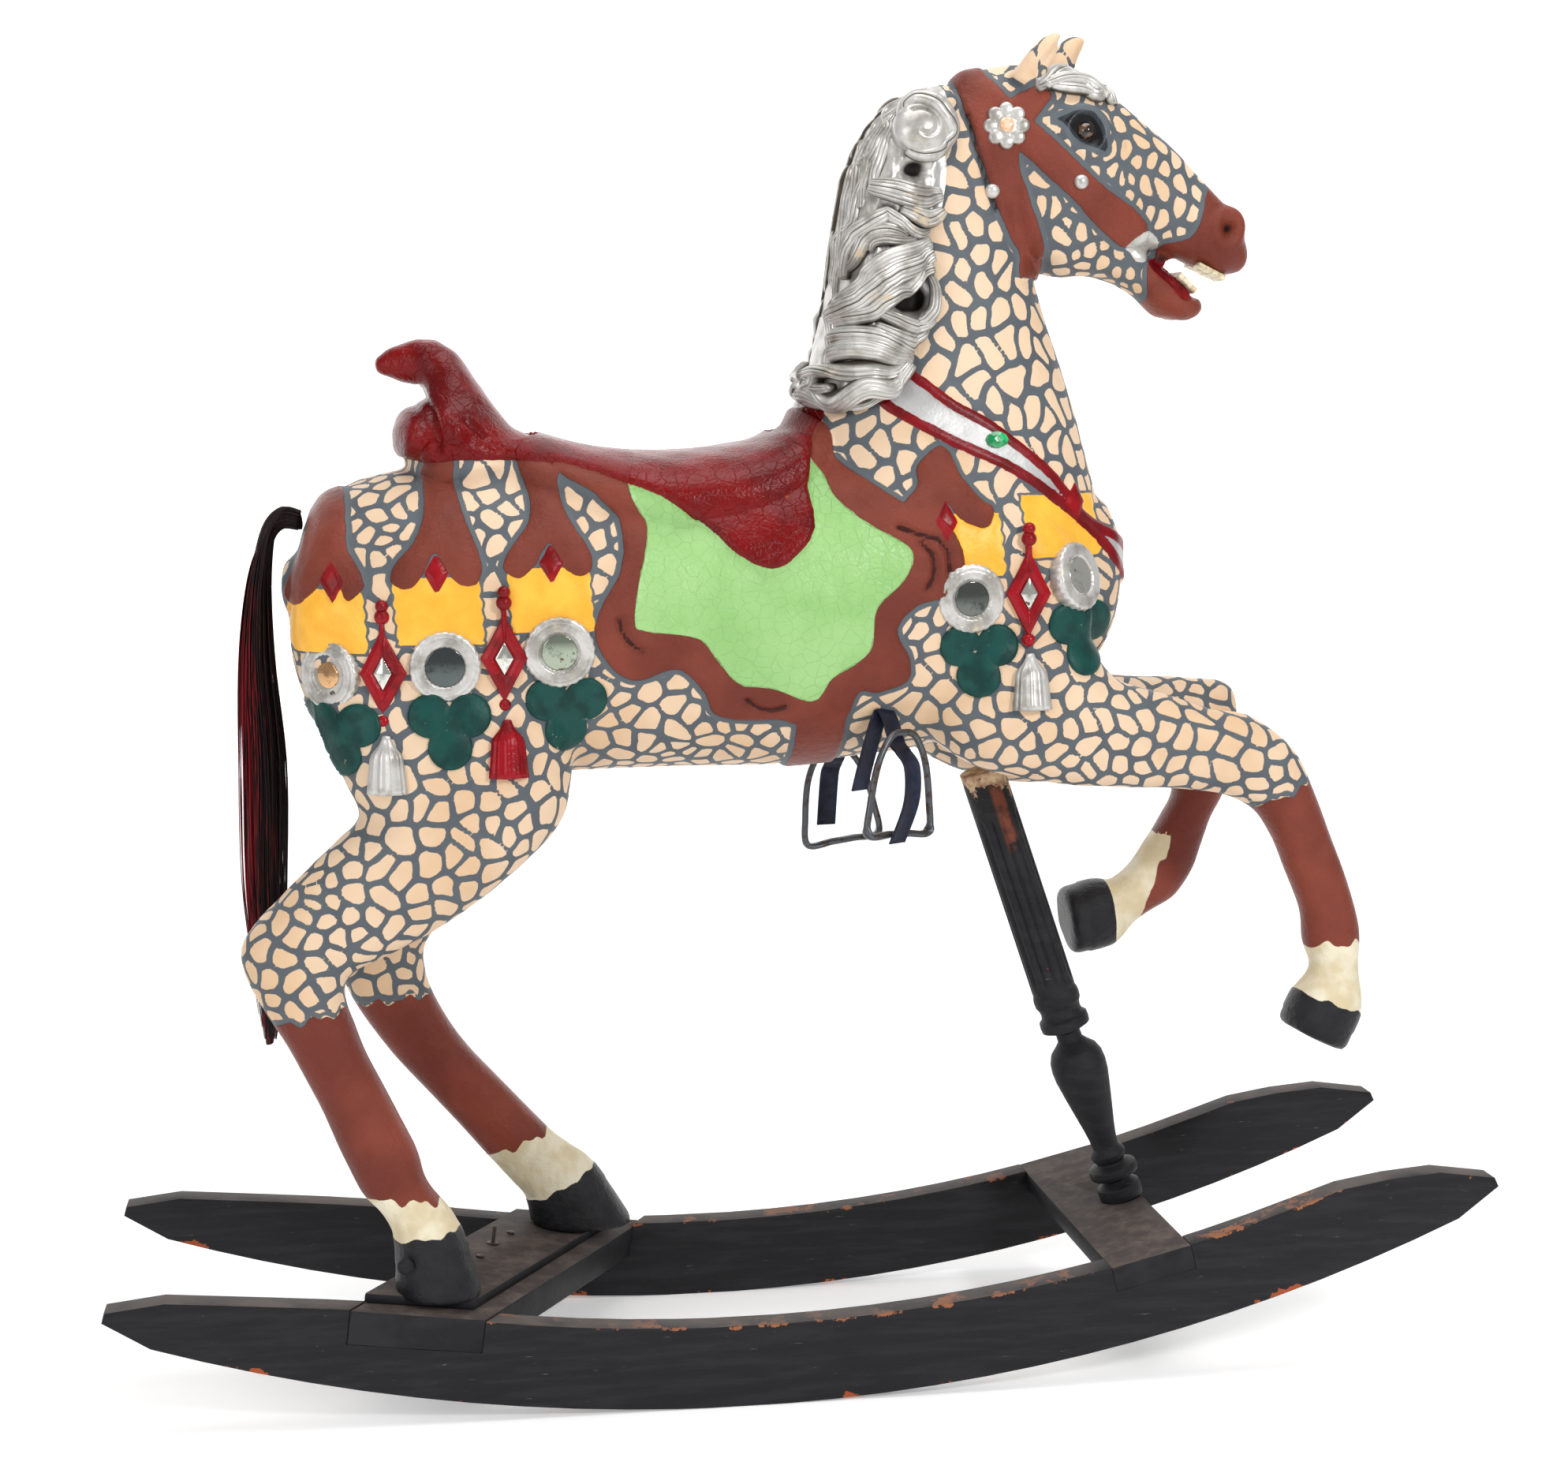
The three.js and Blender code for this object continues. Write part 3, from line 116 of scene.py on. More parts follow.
def limb(stations, sides=40, steps=6, full=2.3, dome=0.35):
    """A rounded limb through stations [upper x, upper z, lower x, lower z, half width, y]."""
    rows = np.array([list(s) + [0] * (6 - len(s)) for s in stations], float)
    rows = spline(rows, (len(rows) - 1) * steps + 1)
    upper = np.stack([rows[:, 0], rows[:, 5], rows[:, 1]], -1)
    lower = np.stack([rows[:, 2], rows[:, 5], rows[:, 3]], -1)
    centre, half = (upper + lower) / 2, (upper - lower) / 2
    angle = np.linspace(0, 2 * np.pi, sides, endpoint=False)
    up = np.sign(np.cos(angle)) * np.abs(np.cos(angle)) ** (2 / full)
    side = np.sign(np.sin(angle)) * np.abs(np.sin(angle)) ** (2 / full)
    wide = np.zeros_like(centre)
    wide[:, 1] = rows[:, 4]
    rings = centre[:, None] + half[:, None] * up[:, None] + wide[:, None] * side[:, None]

    def cap(at, inner):
        out = centre[at] - centre[inner]
        reach = min(np.linalg.norm(half[at]), rows[at, 4]) * dome
        out = out / (np.linalg.norm(out) + 1e-9) * reach
        bend = [0.5, 0.95, 1.3]
        more = [centre[at] + out * math.sin(b) + (rings[at] - centre[at]) * math.cos(b) for b in bend]
        return more, centre[at] + out

    first, start_tip = cap(0, 1)
    last, end_tip = cap(-1, -2)
    rings = np.concatenate([np.array(first[::-1]), rings, np.array(last)])
    lift = np.array([0, 0, SOLE])
    return tube(rings * SHARE + lift, start_tip * SHARE + lift, end_tip * SHARE + lift)


def ellipsoid(at, size, turn=0.0, segments=24):
    theta = np.linspace(0, np.pi, segments // 2 + 1)[1:-1]
    phi = np.linspace(0, 2 * np.pi, segments, endpoint=False)
    ring = np.stack([
        np.cos(theta)[:, None] + 0 * phi[None],
        np.sin(theta)[:, None] * np.cos(phi)[None],
        np.sin(theta)[:, None] * np.sin(phi)[None],
    ], -1) * np.array(size)
    c, s = math.cos(turn), math.sin(turn)
    turned = np.array([[c, 0, -s], [0, 1, 0], [s, 0, c]])
    place = lambda p: world(*at) + SHARE * (p @ turned.T)
    tip = np.array([size[0], 0, 0])
    return tube(place(ring), place(tip), place(-tip))


def build(name, parts, smooth=True):
    """One mesh object from several (vertices, faces), or (vertices, faces, ridge heights)."""
    verts, faces, base = [], [], 0
    for v, f, *_ in parts:
        verts.append(v)
        faces.extend([[i + base for i in face] for face in f])
        base += len(v)
    mesh = bpy.data.meshes.new(name)
    mesh.from_pydata(np.vstack(verts).tolist(), [], faces)
    if len(parts[0]) > 2:
        ridges = mesh.attributes.new("ridge", "FLOAT", "POINT")
        ridges.data.foreach_set("value", np.concatenate([part[2] for part in parts]).astype(np.float32))
    if smooth:
        mesh.shade_smooth()
    obj = bpy.data.objects.new(name, mesh)
    bpy.context.scene.collection.objects.link(obj)
    return obj


def remeshed(parts, voxel):
    """The union of several closed skins as (vertices, quads)."""
    obj = build("union", parts)
    modifier = obj.modifiers.new("union", "REMESH")
    modifier.mode = "VOXEL"
    modifier.voxel_size = voxel
    graph = bpy.context.evaluated_depsgraph_get()
    result = obj.evaluated_get(graph).to_mesh()
    verts = np.zeros(len(result.vertices) * 3, np.float32)
    result.vertices.foreach_get("co", verts)
    loops = np.zeros(len(result.loops), np.int32)
    result.loops.foreach_get("vertex_index", loops)
    verts, quads = verts.reshape(-1, 3).astype(float), loops.reshape(-1, 4).copy()
    mesh = obj.data
    bpy.data.objects.remove(obj)
    bpy.data.meshes.remove(mesh)
    return verts, quads


def relaxed(verts, quads, rounds, keep=0.0):
    """Laplacian smoothing, with a step back after each round to hold the volume."""
    edges = np.vstack([quads[:, [0, 1]], quads[:, [1, 2]], quads[:, [2, 3]], quads[:, [3, 0]]])
    edges = np.unique(np.sort(edges, 1), axis=0)
    count = np.bincount(edges.ravel(), minlength=len(verts)).astype(float)
    for step in range(rounds * 2):
        mean = np.stack([
            np.bincount(edges[:, 0], verts[edges[:, 1], k], len(verts))
            + np.bincount(edges[:, 1], verts[edges[:, 0], k], len(verts))
            for k in range(3)
        ], -1) / count[:, None]
        weight = 0.55 if step % 2 == 0 else -0.57 * keep
        verts = verts + weight * (mean - verts)
    return verts


def normals(verts, quads):
    a, b = verts[quads[:, 2]] - verts[quads[:, 0]], verts[quads[:, 3]] - verts[quads[:, 1]]
    face = np.cross(a, b)
    out = np.stack([
        sum(np.bincount(quads[:, c], face[:, k], len(verts)) for c in range(4)) for k in range(3)
    ], -1)
    return out / (np.linalg.norm(out, axis=1, keepdims=True) + 1e-12)


def inside(px, pz, points, margin=3.0):
    """Signed distance, in shares, to a smooth closed outline; positive inside."""
    outline = closed_spline(points)
    result = np.full(len(px), -margin)
    low, high = outline.min(0) - margin, outline.max(0) + margin
    near = (px > low[0]) & (px < high[0]) & (pz > low[1]) & (pz < high[1])
    x, z = px[near], pz[near]
    best, odd = np.full(len(x), 1e9), np.zeros(len(x), bool)
    for (x1, z1), (x2, z2) in zip(outline, np.roll(outline, -1, 0)):
        ex, ez = x2 - x1, z2 - z1
        t = np.clip(((x - x1) * ex + (z - z1) * ez) / (ex * ex + ez * ez + 1e-12), 0, 1)
        best = np.minimum(best, (x - x1 - t * ex) ** 2 + (z - z1 - t * ez) ** 2)
        crosses = (z1 > z) != (z2 > z)
        with np.errstate(divide="ignore", invalid="ignore"):
            odd ^= crosses & (x < ex * (z - z1) / (ez if ez else 1e-12) + x1)
    result[near] = np.clip(np.where(odd, 1, -1) * np.sqrt(best), -margin, margin)
    return result


def along(px, pz, start, end, width):
    """Signed distance to a straight strap between two points, in shares."""
    (x1, z1), (x2, z2) = start, end
    ex, ez = x2 - x1, z2 - z1
    t = np.clip(((px - x1) * ex + (pz - z1) * ez) / (ex * ex + ez * ez), 0, 1)
    return width / 2 - np.hypot(px - x1 - t * ex, pz - z1 - t * ez)


def spread(points, gap):
    """Indices of points picked at random, no two of them nearer than their gap."""
    free, picked = np.ones(len(points), bool), []
    for i in rng.permutation(len(points)):
        if free[i]:
            picked.append(i)
            free &= ((points - points[i]) ** 2).sum(1) > gap[i] ** 2
    return picked


def net_distance(points, knots, rounding):
    """Distance to the nearest border between the knots' cells, rounded at the corners."""
    result = np.empty(len(points))
    for start in range(0, len(points), 2000):
        part = points[start:start + 2000]
        square = (part**2).sum(1)[:, None] - 2 * part @ knots.T + (knots**2).sum(1)
        nearest = np.argpartition(square, 6, axis=1)[:, :7]
        value = np.take_along_axis(square, nearest, 1)
        order = np.argsort(value, axis=1)
        nearest, value = np.take_along_axis(nearest, order, 1), np.take_along_axis(value, order, 1)
        apart = np.linalg.norm(knots[nearest[:, 1:]] - knots[nearest[:, :1]], axis=2)
        border = (value[:, 1:] - value[:, :1]) / (2 * apart)
        result[start:start + 2000] = -rounding * np.log(np.exp(-border / rounding).sum(1))
    return result


def soft(distance, width=0.35):
    t = np.clip(distance / width * 0.5 + 0.5, 0, 1)
    return t * t * (3 - 2 * t)


def bell(distance, width):
    return np.exp(-(distance / width) ** 2)


# Stations of the figure
TORSO = [
    [-59.4, 86.5, -60.2, 80, 5], [-57.6, 91.6, -59.6, 73, 9.8], [-53.5, 95, -56, 66.5, 12.6],
    [-46.5, 97, -47.5, 62, 14.7], [-37.5, 98, -37.5, 60.6, 15.4], [-27.5, 97.6, -27, 61, 15.5],
    [-15, 96.2, -15, 61.2, 15.8], [-2, 98.5, -3, 61.2, 16], [9, 101.5, 7, 62, 15.8],
    [20, 101.5, 17.5, 63.4, 14.8], [30, 97.5, 28, 66.5, 12.4], [35.6, 93.6, 34.7, 72, 9],
]
NECK = [
    [-3, 97, 30, 74, 12], [-1.5, 101.5, 37.4, 83, 12.6], [0.8, 106, 37.2, 90.5, 11.8],
    [2.8, 110, 35.6, 97.6, 10.6], [4, 115, 33.2, 106, 9.2], [5, 121, 30.6, 113.6, 8],
    [6.5, 128, 28.8, 119.5, 7.2], [9.5, 134.6, 28.6, 123.4, 6.6], [14, 139.6, 29.6, 127, 6],
    [20, 142.8, 31, 130, 5.2],
]
HEAD = [
    [21, 143.6, 19.5, 133, 4.6], [27.5, 144.6, 23.5, 125.5, 6], [32.8, 143.4, 28, 120.8, 6.8],
    [37.8, 141.2, 33, 119.4, 6.9], [42, 138.2, 37.6, 121, 5.8], [45.8, 135.2, 42.2, 123.4, 4.7],
    [49, 132, 45.8, 122.2, 4.3], [51.8, 129.2, 49, 120.8, 4.3], [54.2, 126.2, 51.6, 119.8, 4.3],
    [55.4, 123.2, 53.8, 120, 3.2],
]
JAW = [
    [31, 127, 31, 119.8, 5.2], [37.5, 124.8, 37, 119.4, 4.4], [41, 123.2, 41.2, 117.6, 3.8],
    [43, 122.3, 43, 116, 3.7], [44.9, 121.7, 44.4, 114.8, 3.6], [46.7, 120.1, 46, 114.6, 3.3],
    [48.3, 118.7, 47.6, 115.3, 2.6], [48.9, 117.7, 48.4, 116.3, 1.6],
]
LEGS = {
    "near_hind": [
        [-30, 80, -56, 78, 6, -7], [-27.6, 72, -57.4, 70, 7.6, -8.2], [-28, 63, -54.6, 62, 7.6, -9.5],
        [-30, 55.6, -52.8, 57.6, 7, -10.2], [-39, 47.6, -55.6, 54.6, 6, -11.2],
        [-47, 42.8, -61.2, 49.4, 5, -12], [-54, 39.6, -65.8, 44.4, 4.2, -12.7],
        [-54.6, 36.6, -66.4, 41, 4, -13.1], [-53.8, 34, -64, 35.8, 3.8, -13.6],
        [-52.6, 30.8, -61, 30.7, 3.5, -14.2], [-50.2, 25.8, -58, 24.8, 3.4, -15],
        [-47.2, 19.9, -55.3, 18.4, 3.7, -15.7], [-46.2, 16.4, -53.4, 14.6, 3.6, -16.2],
        [-45.2, 14.6, -51.2, 12.2, 3.3, -16.4], [-42.4, 10.6, -49.8, 9, 4.2, -16.5],
        [-39.6, 2, -49.8, 2.4, 5, -16.5],
    ],
    "far_hind": [
        [-30, 80, -56, 78, 6, 7], [-26, 72, -55, 70, 7.6, 8.2], [-26, 63, -52, 62, 7.6, 9.2],
        [-28, 56, -49, 56, 7, 10], [-33, 49, -49, 51, 6, 10.5], [-39, 43.6, -52.4, 46.4, 5, 10.8],
        [-44.4, 38.6, -55.6, 40.8, 4.2, 11], [-44.6, 34.4, -55.6, 36.6, 4, 11.1],
        [-43, 30, -53.6, 31, 3.8, 11.3], [-40, 25.2, -49.6, 25, 3.5, 11.7],
        [-35.6, 20.2, -45, 19.4, 3.4, 12.2], [-31.6, 15.6, -40.4, 14, 3.6, 12.8],
        [-28.8, 12.6, -37.2, 10, 3.6, 13.2], [-26.6, 10.8, -34.2, 6.4, 3.4, 13.5],
        [-23.7, 8.3, -32.4, 4.2, 4.2, 13.8], [-18.6, 0.4, -31.6, 0.4, 5, 14],
    ],
    "near_fore": [
        [24, 84, 12, 70, 5.5, -8], [32, 78.6, 15, 64.8, 7, -8.8], [36, 73, 20, 61.6, 6.8, -9.5],
        [38.4, 71.2, 25.6, 60, 6.2, -10], [43, 70, 33.2, 58.9, 5.4, -10],
        [49, 67.9, 41.5, 58.5, 4.8, -10], [54, 67, 49, 57.8, 4.4, -10],
        [59.4, 63, 54.4, 55.8, 4, -10], [62.4, 57.2, 57, 52.5, 3.5, -10],
        [65.2, 50.6, 58.9, 48.1, 3, -10], [67.6, 44.2, 61, 43, 3, -10],
        [68.6, 39.4, 61.6, 38.7, 3.2, -10], [68.5, 35.6, 62.6, 35.6, 2.9, -10],
        [69, 30.4, 60.4, 32.4, 4, -10], [66.8, 25.2, 59, 29, 4.6, -10],
    ],
    "far_fore": [
        [24, 84, 12, 70, 5.5, 8], [30, 77, 16, 62, 7, 8.6], [36, 71, 25, 57.6, 6.4, 9],
        [44, 70, 33.2, 56.6, 5.6, 9], [51.7, 69.6, 42.4, 57.6, 4.8, 9],
        [57.6, 68.6, 48, 58.2, 4.4, 9], [58.6, 64, 49.6, 57.4, 4.2, 9],
        [57.8, 57, 50.6, 54.8, 3.6, 9], [55.2, 51, 48.2, 50.4, 3.1, 9],
        [53.4, 45.4, 45, 45.6, 3, 9], [50.6, 41.4, 43.4, 44.2, 3.2, 9],
        [46, 38.6, 42, 43.6, 2.9, 9], [42.6, 35.4, 40.8, 43.8, 4, 9],
        [37.4, 34.4, 36, 42.8, 4.6, 9],
    ],
}
NEAR_EAR = [
    [24.8, 142.8, 27.5, 141.2, 1.6, -4.2], [25.8, 144.0, 28.8, 142.5, 1.9, -4.5],
    [27.1, 145.7, 29.7, 144.3, 1.8, -4.7], [28.7, 147.2, 30.6, 146.0, 1.4, -4.9],
    [30.1, 147.8, 31.0, 147.2, 0.8, -4.9],
]
FAR_EAR = [
    [30.6, 143.0, 33.4, 141.4, 1.7, 4.0], [31.6, 145.0, 34.6, 143.6, 2.0, 4.3],
    [32.8, 147.0, 35.4, 145.8, 1.8, 4.5], [34.0, 148.2, 36.1, 147.4, 1.3, 4.5],
    [35.0, 148.4, 36.3, 148.0, 0.7, 4.5],
]
MANE = [
    [17, 142, 19, 138, 5.2], [12.6, 140.4, 17.2, 134, 6.6], [8.6, 136.2, 16.2, 129, 7.4],
    [5.9, 130, 15.6, 124, 8.1], [4.7, 123, 15, 119, 8.8], [3.9, 116.6, 14.2, 114, 9.8],
    [2.5, 111, 12.8, 109, 11], [1.6, 106.6, 10, 105.4, 10.8],
]
SEAT = [
    [-35.5, 102.4, -35, 93, 8.6], [-29.2, 99.8, -29, 91, 10.6], [-23.6, 98.5, -23.6, 89, 12],
    [-15.1, 98.1, -15, 88, 12.6], [-5.6, 99.3, -5.6, 89, 12.2], [-0.8, 101.8, 0, 91, 10.6],
    [1.8, 103.6, 3, 93, 9],
]
CANTLE = [
    [-49.5, 110, -48.8, 107.8, 1.5], [-47.2, 111.3, -46.6, 107, 2.6], [-43.8, 112.1, -44.6, 106.4, 3.8],
    [-40.6, 110.6, -44.8, 104.6, 5], [-38, 107.2, -46.4, 102, 7], [-35, 103, -47, 99, 9],
    [-32, 99.5, -45.5, 95, 9.6],
]

# Painted regions, as outlines [x, z] in shares
CLOTH = [
    (-29.1, 98.6), (-25.3, 94.4), (-22.6, 91.3), (-22.7, 86.0), (-25.1, 81.6), (-25.8, 78.4),
    (-24.0, 74.8), (-21.0, 73.2), (-16.3, 74.4), (-13.2, 71.6), (-12.0, 69.2), (-9.1, 68.2),
    (-4.5, 68.2), (-1.9, 67.4), (1, 66.9), (3.8, 68.2), (5.0, 71.3), (7.4, 71.2), (10.8, 72.5),
    (10.9, 75.1), (9.3, 78.6), (11.8, 81.4), (15.7, 82.4), (17.4, 85.6), (16.5, 89.2),
    (14.0, 91.6), (10.8, 92.9), (6.5, 95.6), (3.2, 98.3), (1.2, 103.0), (-14, 108),
]
FIELD = [
    (-21.1, 96.6), (-19.5, 90.5), (-20.9, 83.7), (-21.3, 79.9), (-20.3, 78.9), (-14.2, 78.0),
    (-12.1, 75.8), (-9.3, 72.7), (-5.3, 72.0), (-0.4, 70.4), (1.8, 73.1), (6.0, 76.1),
    (6.8, 81.0), (9.6, 83.8), (11.0, 86.1), (10.6, 88.2), (5.8, 90.9), (2.5, 93.8), (0.4, 97.6),
    (-10, 106),
]
FLAP = [
    (1.4, 104.5), (0.4, 100.1), (-0.5, 95.9), (-0.2, 90.4), (-2.4, 87.2), (-5.3, 85.7),
    (-8.9, 87.1), (-12.3, 90.1), (-16.5, 93.3), (-21.6, 95.3), (-29.5, 97.6), (-38, 98.3),
    (-47.3, 97.9), (-52, 100), (-56, 108), (-50, 118), (-36, 118), (-14, 108),
]
STRAPS = [
    [(-54.0, 95.5), (-53.6, 90.6), (-53.5, 88.4), (-52.0, 85.4), (-51.9, 83.9), (-53.7, 82.6),
     (-55.0, 85.8), (-56.7, 84.2), (-59.2, 81.8), (-60.6, 83.0), (-58.6, 88.2), (-57.6, 91.8),
     (-57.0, 95.5)],
    [(-41.5, 99.5), (-41.3, 95.5), (-40.2, 91.3), (-38.7, 87.2), (-38.9, 84.9), (-40.4, 84.2),
     (-42.2, 85.4), (-43.8, 87.9), (-45.4, 85.2), (-47.0, 83.9), (-48.7, 84.7), (-48.3, 86.5),
     (-46.0, 89.3), (-44.8, 92.6), (-44.6, 99.5)],
    [(-29.4, 99.5), (-29.5, 95.8), (-28.7, 92.0), (-26.3, 88.0), (-26.2, 85.9), (-27.6, 85.2),
     (-29.4, 86.3), (-30.8, 88.9), (-32.6, 86.4), (-34.4, 85.0), (-36.1, 86.2), (-35.2, 88.4),
     (-33.1, 91.2), (-32.9, 94.4), (-34.0, 99.5)],
    [(12.4, 97.4), (14.8, 99.6), (16.2, 98.8), (17.4, 96.3), (19.8, 93.4), (21.2, 92.4),
     (20.6, 90.4), (18.8, 90.3), (16.9, 91.3), (15.5, 93.0), (14.2, 91.0), (12.6, 91.4),
     (10.4, 92.8), (12.2, 95.0)],
]
TONGUES = [(-55.2, 84.6), (-43.7, 85.6), (-30.7, 86.6), (15.3, 90.9), (32.0, 92.9)]
PANELS = [
    (-56.0, 80.2, 4.1, 3.6), (-43.5, 81.4, 4.7, 3.8), (-30.8, 82.5, 4.5, 3.6), (18.4, 88.2, 3.6, 3.6),
    (30.2, 90.2, 5.0, 3.6),
]
BREAST = [
    (10.5, 109.2), (17.1, 104.9), (21.8, 102.3), (28.8, 97.0), (33.7, 91.6), (40, 87.6),
    (40, 82.6), (34.8, 88.2), (29.6, 92.4), (23.6, 96.4), (15, 100.3), (8, 104.8),
]
MANE_AREA = [
    (17.0, 140.3), (17.1, 135.7), (16.7, 130.2), (16.2, 127.3), (15.2, 125.2), (14.4, 124.2), (14.5, 122.0),
    (14.8, 119.3), (14.9, 115.6), (14.2, 112.4), (12.2, 110.4), (11.4, 108.3), (10.4, 106.1), (8.2, 104.7),
    (4.7, 104.4), (1.0, 104.2), (-3, 104), (-4, 112), (0, 124), (2, 134), (6, 141), (12, 145), (15.6, 143.4),
]
ALMOND = [
    (29.9, 137.7), (31.2, 138.2), (32.6, 138.6), (34.0, 138.5), (35.0, 137.9), (35.6, 137.0), (36.0, 135.6),
    (36.2, 134.1), (35.1, 134.2), (33.6, 134.8), (32.3, 135.6), (31.4, 136.7), (30.7, 137.4),
]
MUZZLE = [
    (43.9, 122.0), (44.6, 123.4), (47, 123.9), (48.3, 125.2), (49, 127.4), (49.8, 129.8),
    (53, 133), (60, 128), (60, 112), (43, 112), (42.6, 117), (42.3, 120.6),
]
MOUTH = [
    (42.9, 121.9), (44.6, 122.2), (45.8, 121.4), (46.9, 120.5), (48.9, 119.1), (49.4, 117.5), (48.1, 116.9),
    (46.9, 116.9), (45.9, 117.9), (45.0, 118.8), (44.0, 119.6), (43.0, 120.8),
]
BRIDLE = [
    [(18.7, 142.4), (18.9, 146.0), (22.0, 146.0), (22.2, 143.1), (22.7, 142.3), (23.7, 141.2), (24.7, 140.1),
     (26.3, 141.0), (27.7, 141.8), (28.4, 141.6), (29.7, 140.5), (28.5, 138.9), (27.5, 137.5), (28.3, 136.6),
     (29.8, 135.3), (32.7, 132.6), (36.1, 129.7), (40.0, 127.3), (42.0, 125.3), (41.5, 123.2), (39.4, 123.0),
     (37.6, 123.7), (34.7, 125.8), (31.8, 128.7), (28.9, 131.2), (26.9, 133.0), (24.8, 134.4), (22.5, 134.2),
     (20.9, 134.1), (20.2, 136.3), (19.2, 139.0)],
    [(20.4, 134.8), (25.0, 134.8), (25.8, 131.8), (26.6, 129.6), (27.4, 127.3), (28.2, 125.0), (29.1, 121.9),
     (29.3, 118.6), (26.2, 118.6), (25.9, 122.0), (25.1, 123.3), (24.2, 125.0), (23.4, 126.6), (22.7, 128.2),
     (21.8, 130.9), (21.2, 132.7)],
]
BIT_PLATE = [
    (39.2, 123.0), (40.5, 124.3), (41.8, 125.1), (43.1, 124.7), (44.1, 123.4), (43.0, 122.7), (42.3, 122.0),
    (41.9, 121.2), (40.8, 121.2), (39.9, 122.1),
]
CREVICE = [(19.6, 138.0), (20.6, 134.0), (21.6, 130.6), (22.9, 127.2)]
CUTS = [
    [(-23.1, 80.2), (-22.8, 78.9), (-22.2, 77.9), (-21.4, 77.1), (-20.5, 76.6)],
    [(12.2, 88.6), (13.4, 87.4), (13.8, 85.8), (13.5, 84.4), (12.9, 83.4)],
    [(9.6, 90.4), (12.0, 89.5), (14.2, 89.0), (15.5, 87.4), (15.6, 85.2)],
    [(-8.2, 70.6), (-7.0, 69.6), (-5.2, 69.2), (-3.6, 69.6)],
    [(-44.8, 106.2), (-43.8, 104.2), (-43.2, 101.4), (-42.8, 99.0)],
    [(-41.6, 103.6), (-39.6, 102.8), (-37.6, 101.0)],
]
EYE = (33.7, 136.4)
NOSTRIL = (52.2, 125.3)

# The carved horse: lofted forms joined into one skin, then relief on the skin
MUSCLES = [
    # [x, half the distance between the pair, z, size, turn]
    (31.2, 4.4, 127.6, (6.4, 2.4, 6.2), 0.5), (52.2, 2.6, 125.2, (2.4, 2.0, 2.8), -0.5),
    (47.2, 1.6, 116.0, (2.7, 2.4, 1.7), 0.0), (33.8, 5.2, 136.6, (3.4, 1.7, 2.6), -0.6),
    (24, 11.4, 82, (9, 3.6, 12), 0.4), (-42, 11.5, 78, (13, 4.0, 14), 0.2),
]
base_parts = [
    limb(TORSO, sides=56, dome=0.55),
    limb(NECK),
    limb(HEAD, dome=0.5),
    limb(JAW, dome=0.6),
    *[limb(rows, sides=32, dome=0.05) for rows in LEGS.values()],
    *[ellipsoid((x, side * y, z), size, turn) for x, y, z, size, turn in MUSCLES for side in (-1, 1)],
]
skin, quads = remeshed(base_parts, COARSE_VOXEL)
skin = relaxed(skin, quads, 9, keep=0.8)
base_skin = (skin, quads.tolist())

detail_parts = [
    base_skin,
    limb(NEAR_EAR, sides=20, dome=0.4),
    limb(FAR_EAR, sides=20, dome=0.4),
    limb(MANE, dome=0.3),
    limb(SEAT, sides=48),
    limb(CANTLE, dome=0.6),
    ellipsoid((-45.4, 0, 100.7), (2.6, 8.2, 3.6)),
    ellipsoid((-41.2, 0, 101.2), (3.6, 10.6, 4.6), 0.3),
    ellipsoid((-46.6, 0, 109.2), (2.0, 2.6, 1.7)),
    ellipsoid((-43.6, 0, 109.9), (2.4, 4.3, 2.2)),
]
skin, quads = remeshed(detail_parts, FINE_VOXEL)
skin = relaxed(skin, quads, 4, keep=0.9)
out = normals(skin, quads)
px, py, pz = skin[:, 0] / SHARE, skin[:, 1] / SHARE, (skin[:, 2] - SOLE) / SHARE

cloth, field = inside(px, pz, CLOTH), inside(px, pz, FIELD)
saddle = inside(px, pz, FLAP)
girth = np.minimum(np.minimum(px + 2, 3.8 - px), 70 - pz)
border = np.maximum(np.minimum(cloth, -field + 0.05), girth)
strap_fields = [inside(px, pz, rows) for rows in STRAPS]
straps = np.max(strap_fields, axis=0)
bridle = np.where(pz > 119, np.max([inside(px, pz, strap) for strap in BRIDLE], axis=0), -3)
plate = np.where(pz > 119, inside(px, pz, BIT_PLATE), -3)
crevice = np.max([along(px, pz, a, b, 0.5) for a, b in zip(CREVICE, CREVICE[1:])], axis=0)
breast = inside(px, pz, BREAST)
mane_area = np.where(pz > 103.4, inside(px, pz, MANE_AREA), -3)


def panel_field(x, z, half, height):
    sway = 0.28 * np.abs(np.sin((pz - z) * 1.9))
    return np.minimum(half + sway - np.abs(px - x - 0.08 * (z - pz)), height - np.abs(pz - z))


panel = np.max([panel_field(*row) for row in PANELS], axis=0)
tongue = np.max([1.75 - np.abs(px - x) * 1.25 - np.abs(pz - z) * 0.75 for x, z in TONGUES], axis=0)
almond = inside(px, pz, ALMOND)
muzzle = np.where(px > 41, inside(px, pz, MUZZLE), -3)
mouth = np.where(px > 42, inside(px, pz, MOUTH), -3)

near, far = py < 0, py >= 0
sock = np.full(len(px), -3.0)
white, hoof = sock.copy(), sock.copy()


def on_leg(mask, target, value):
    target[mask] = np.maximum(target[mask], np.clip(value, -3, 3)[mask])


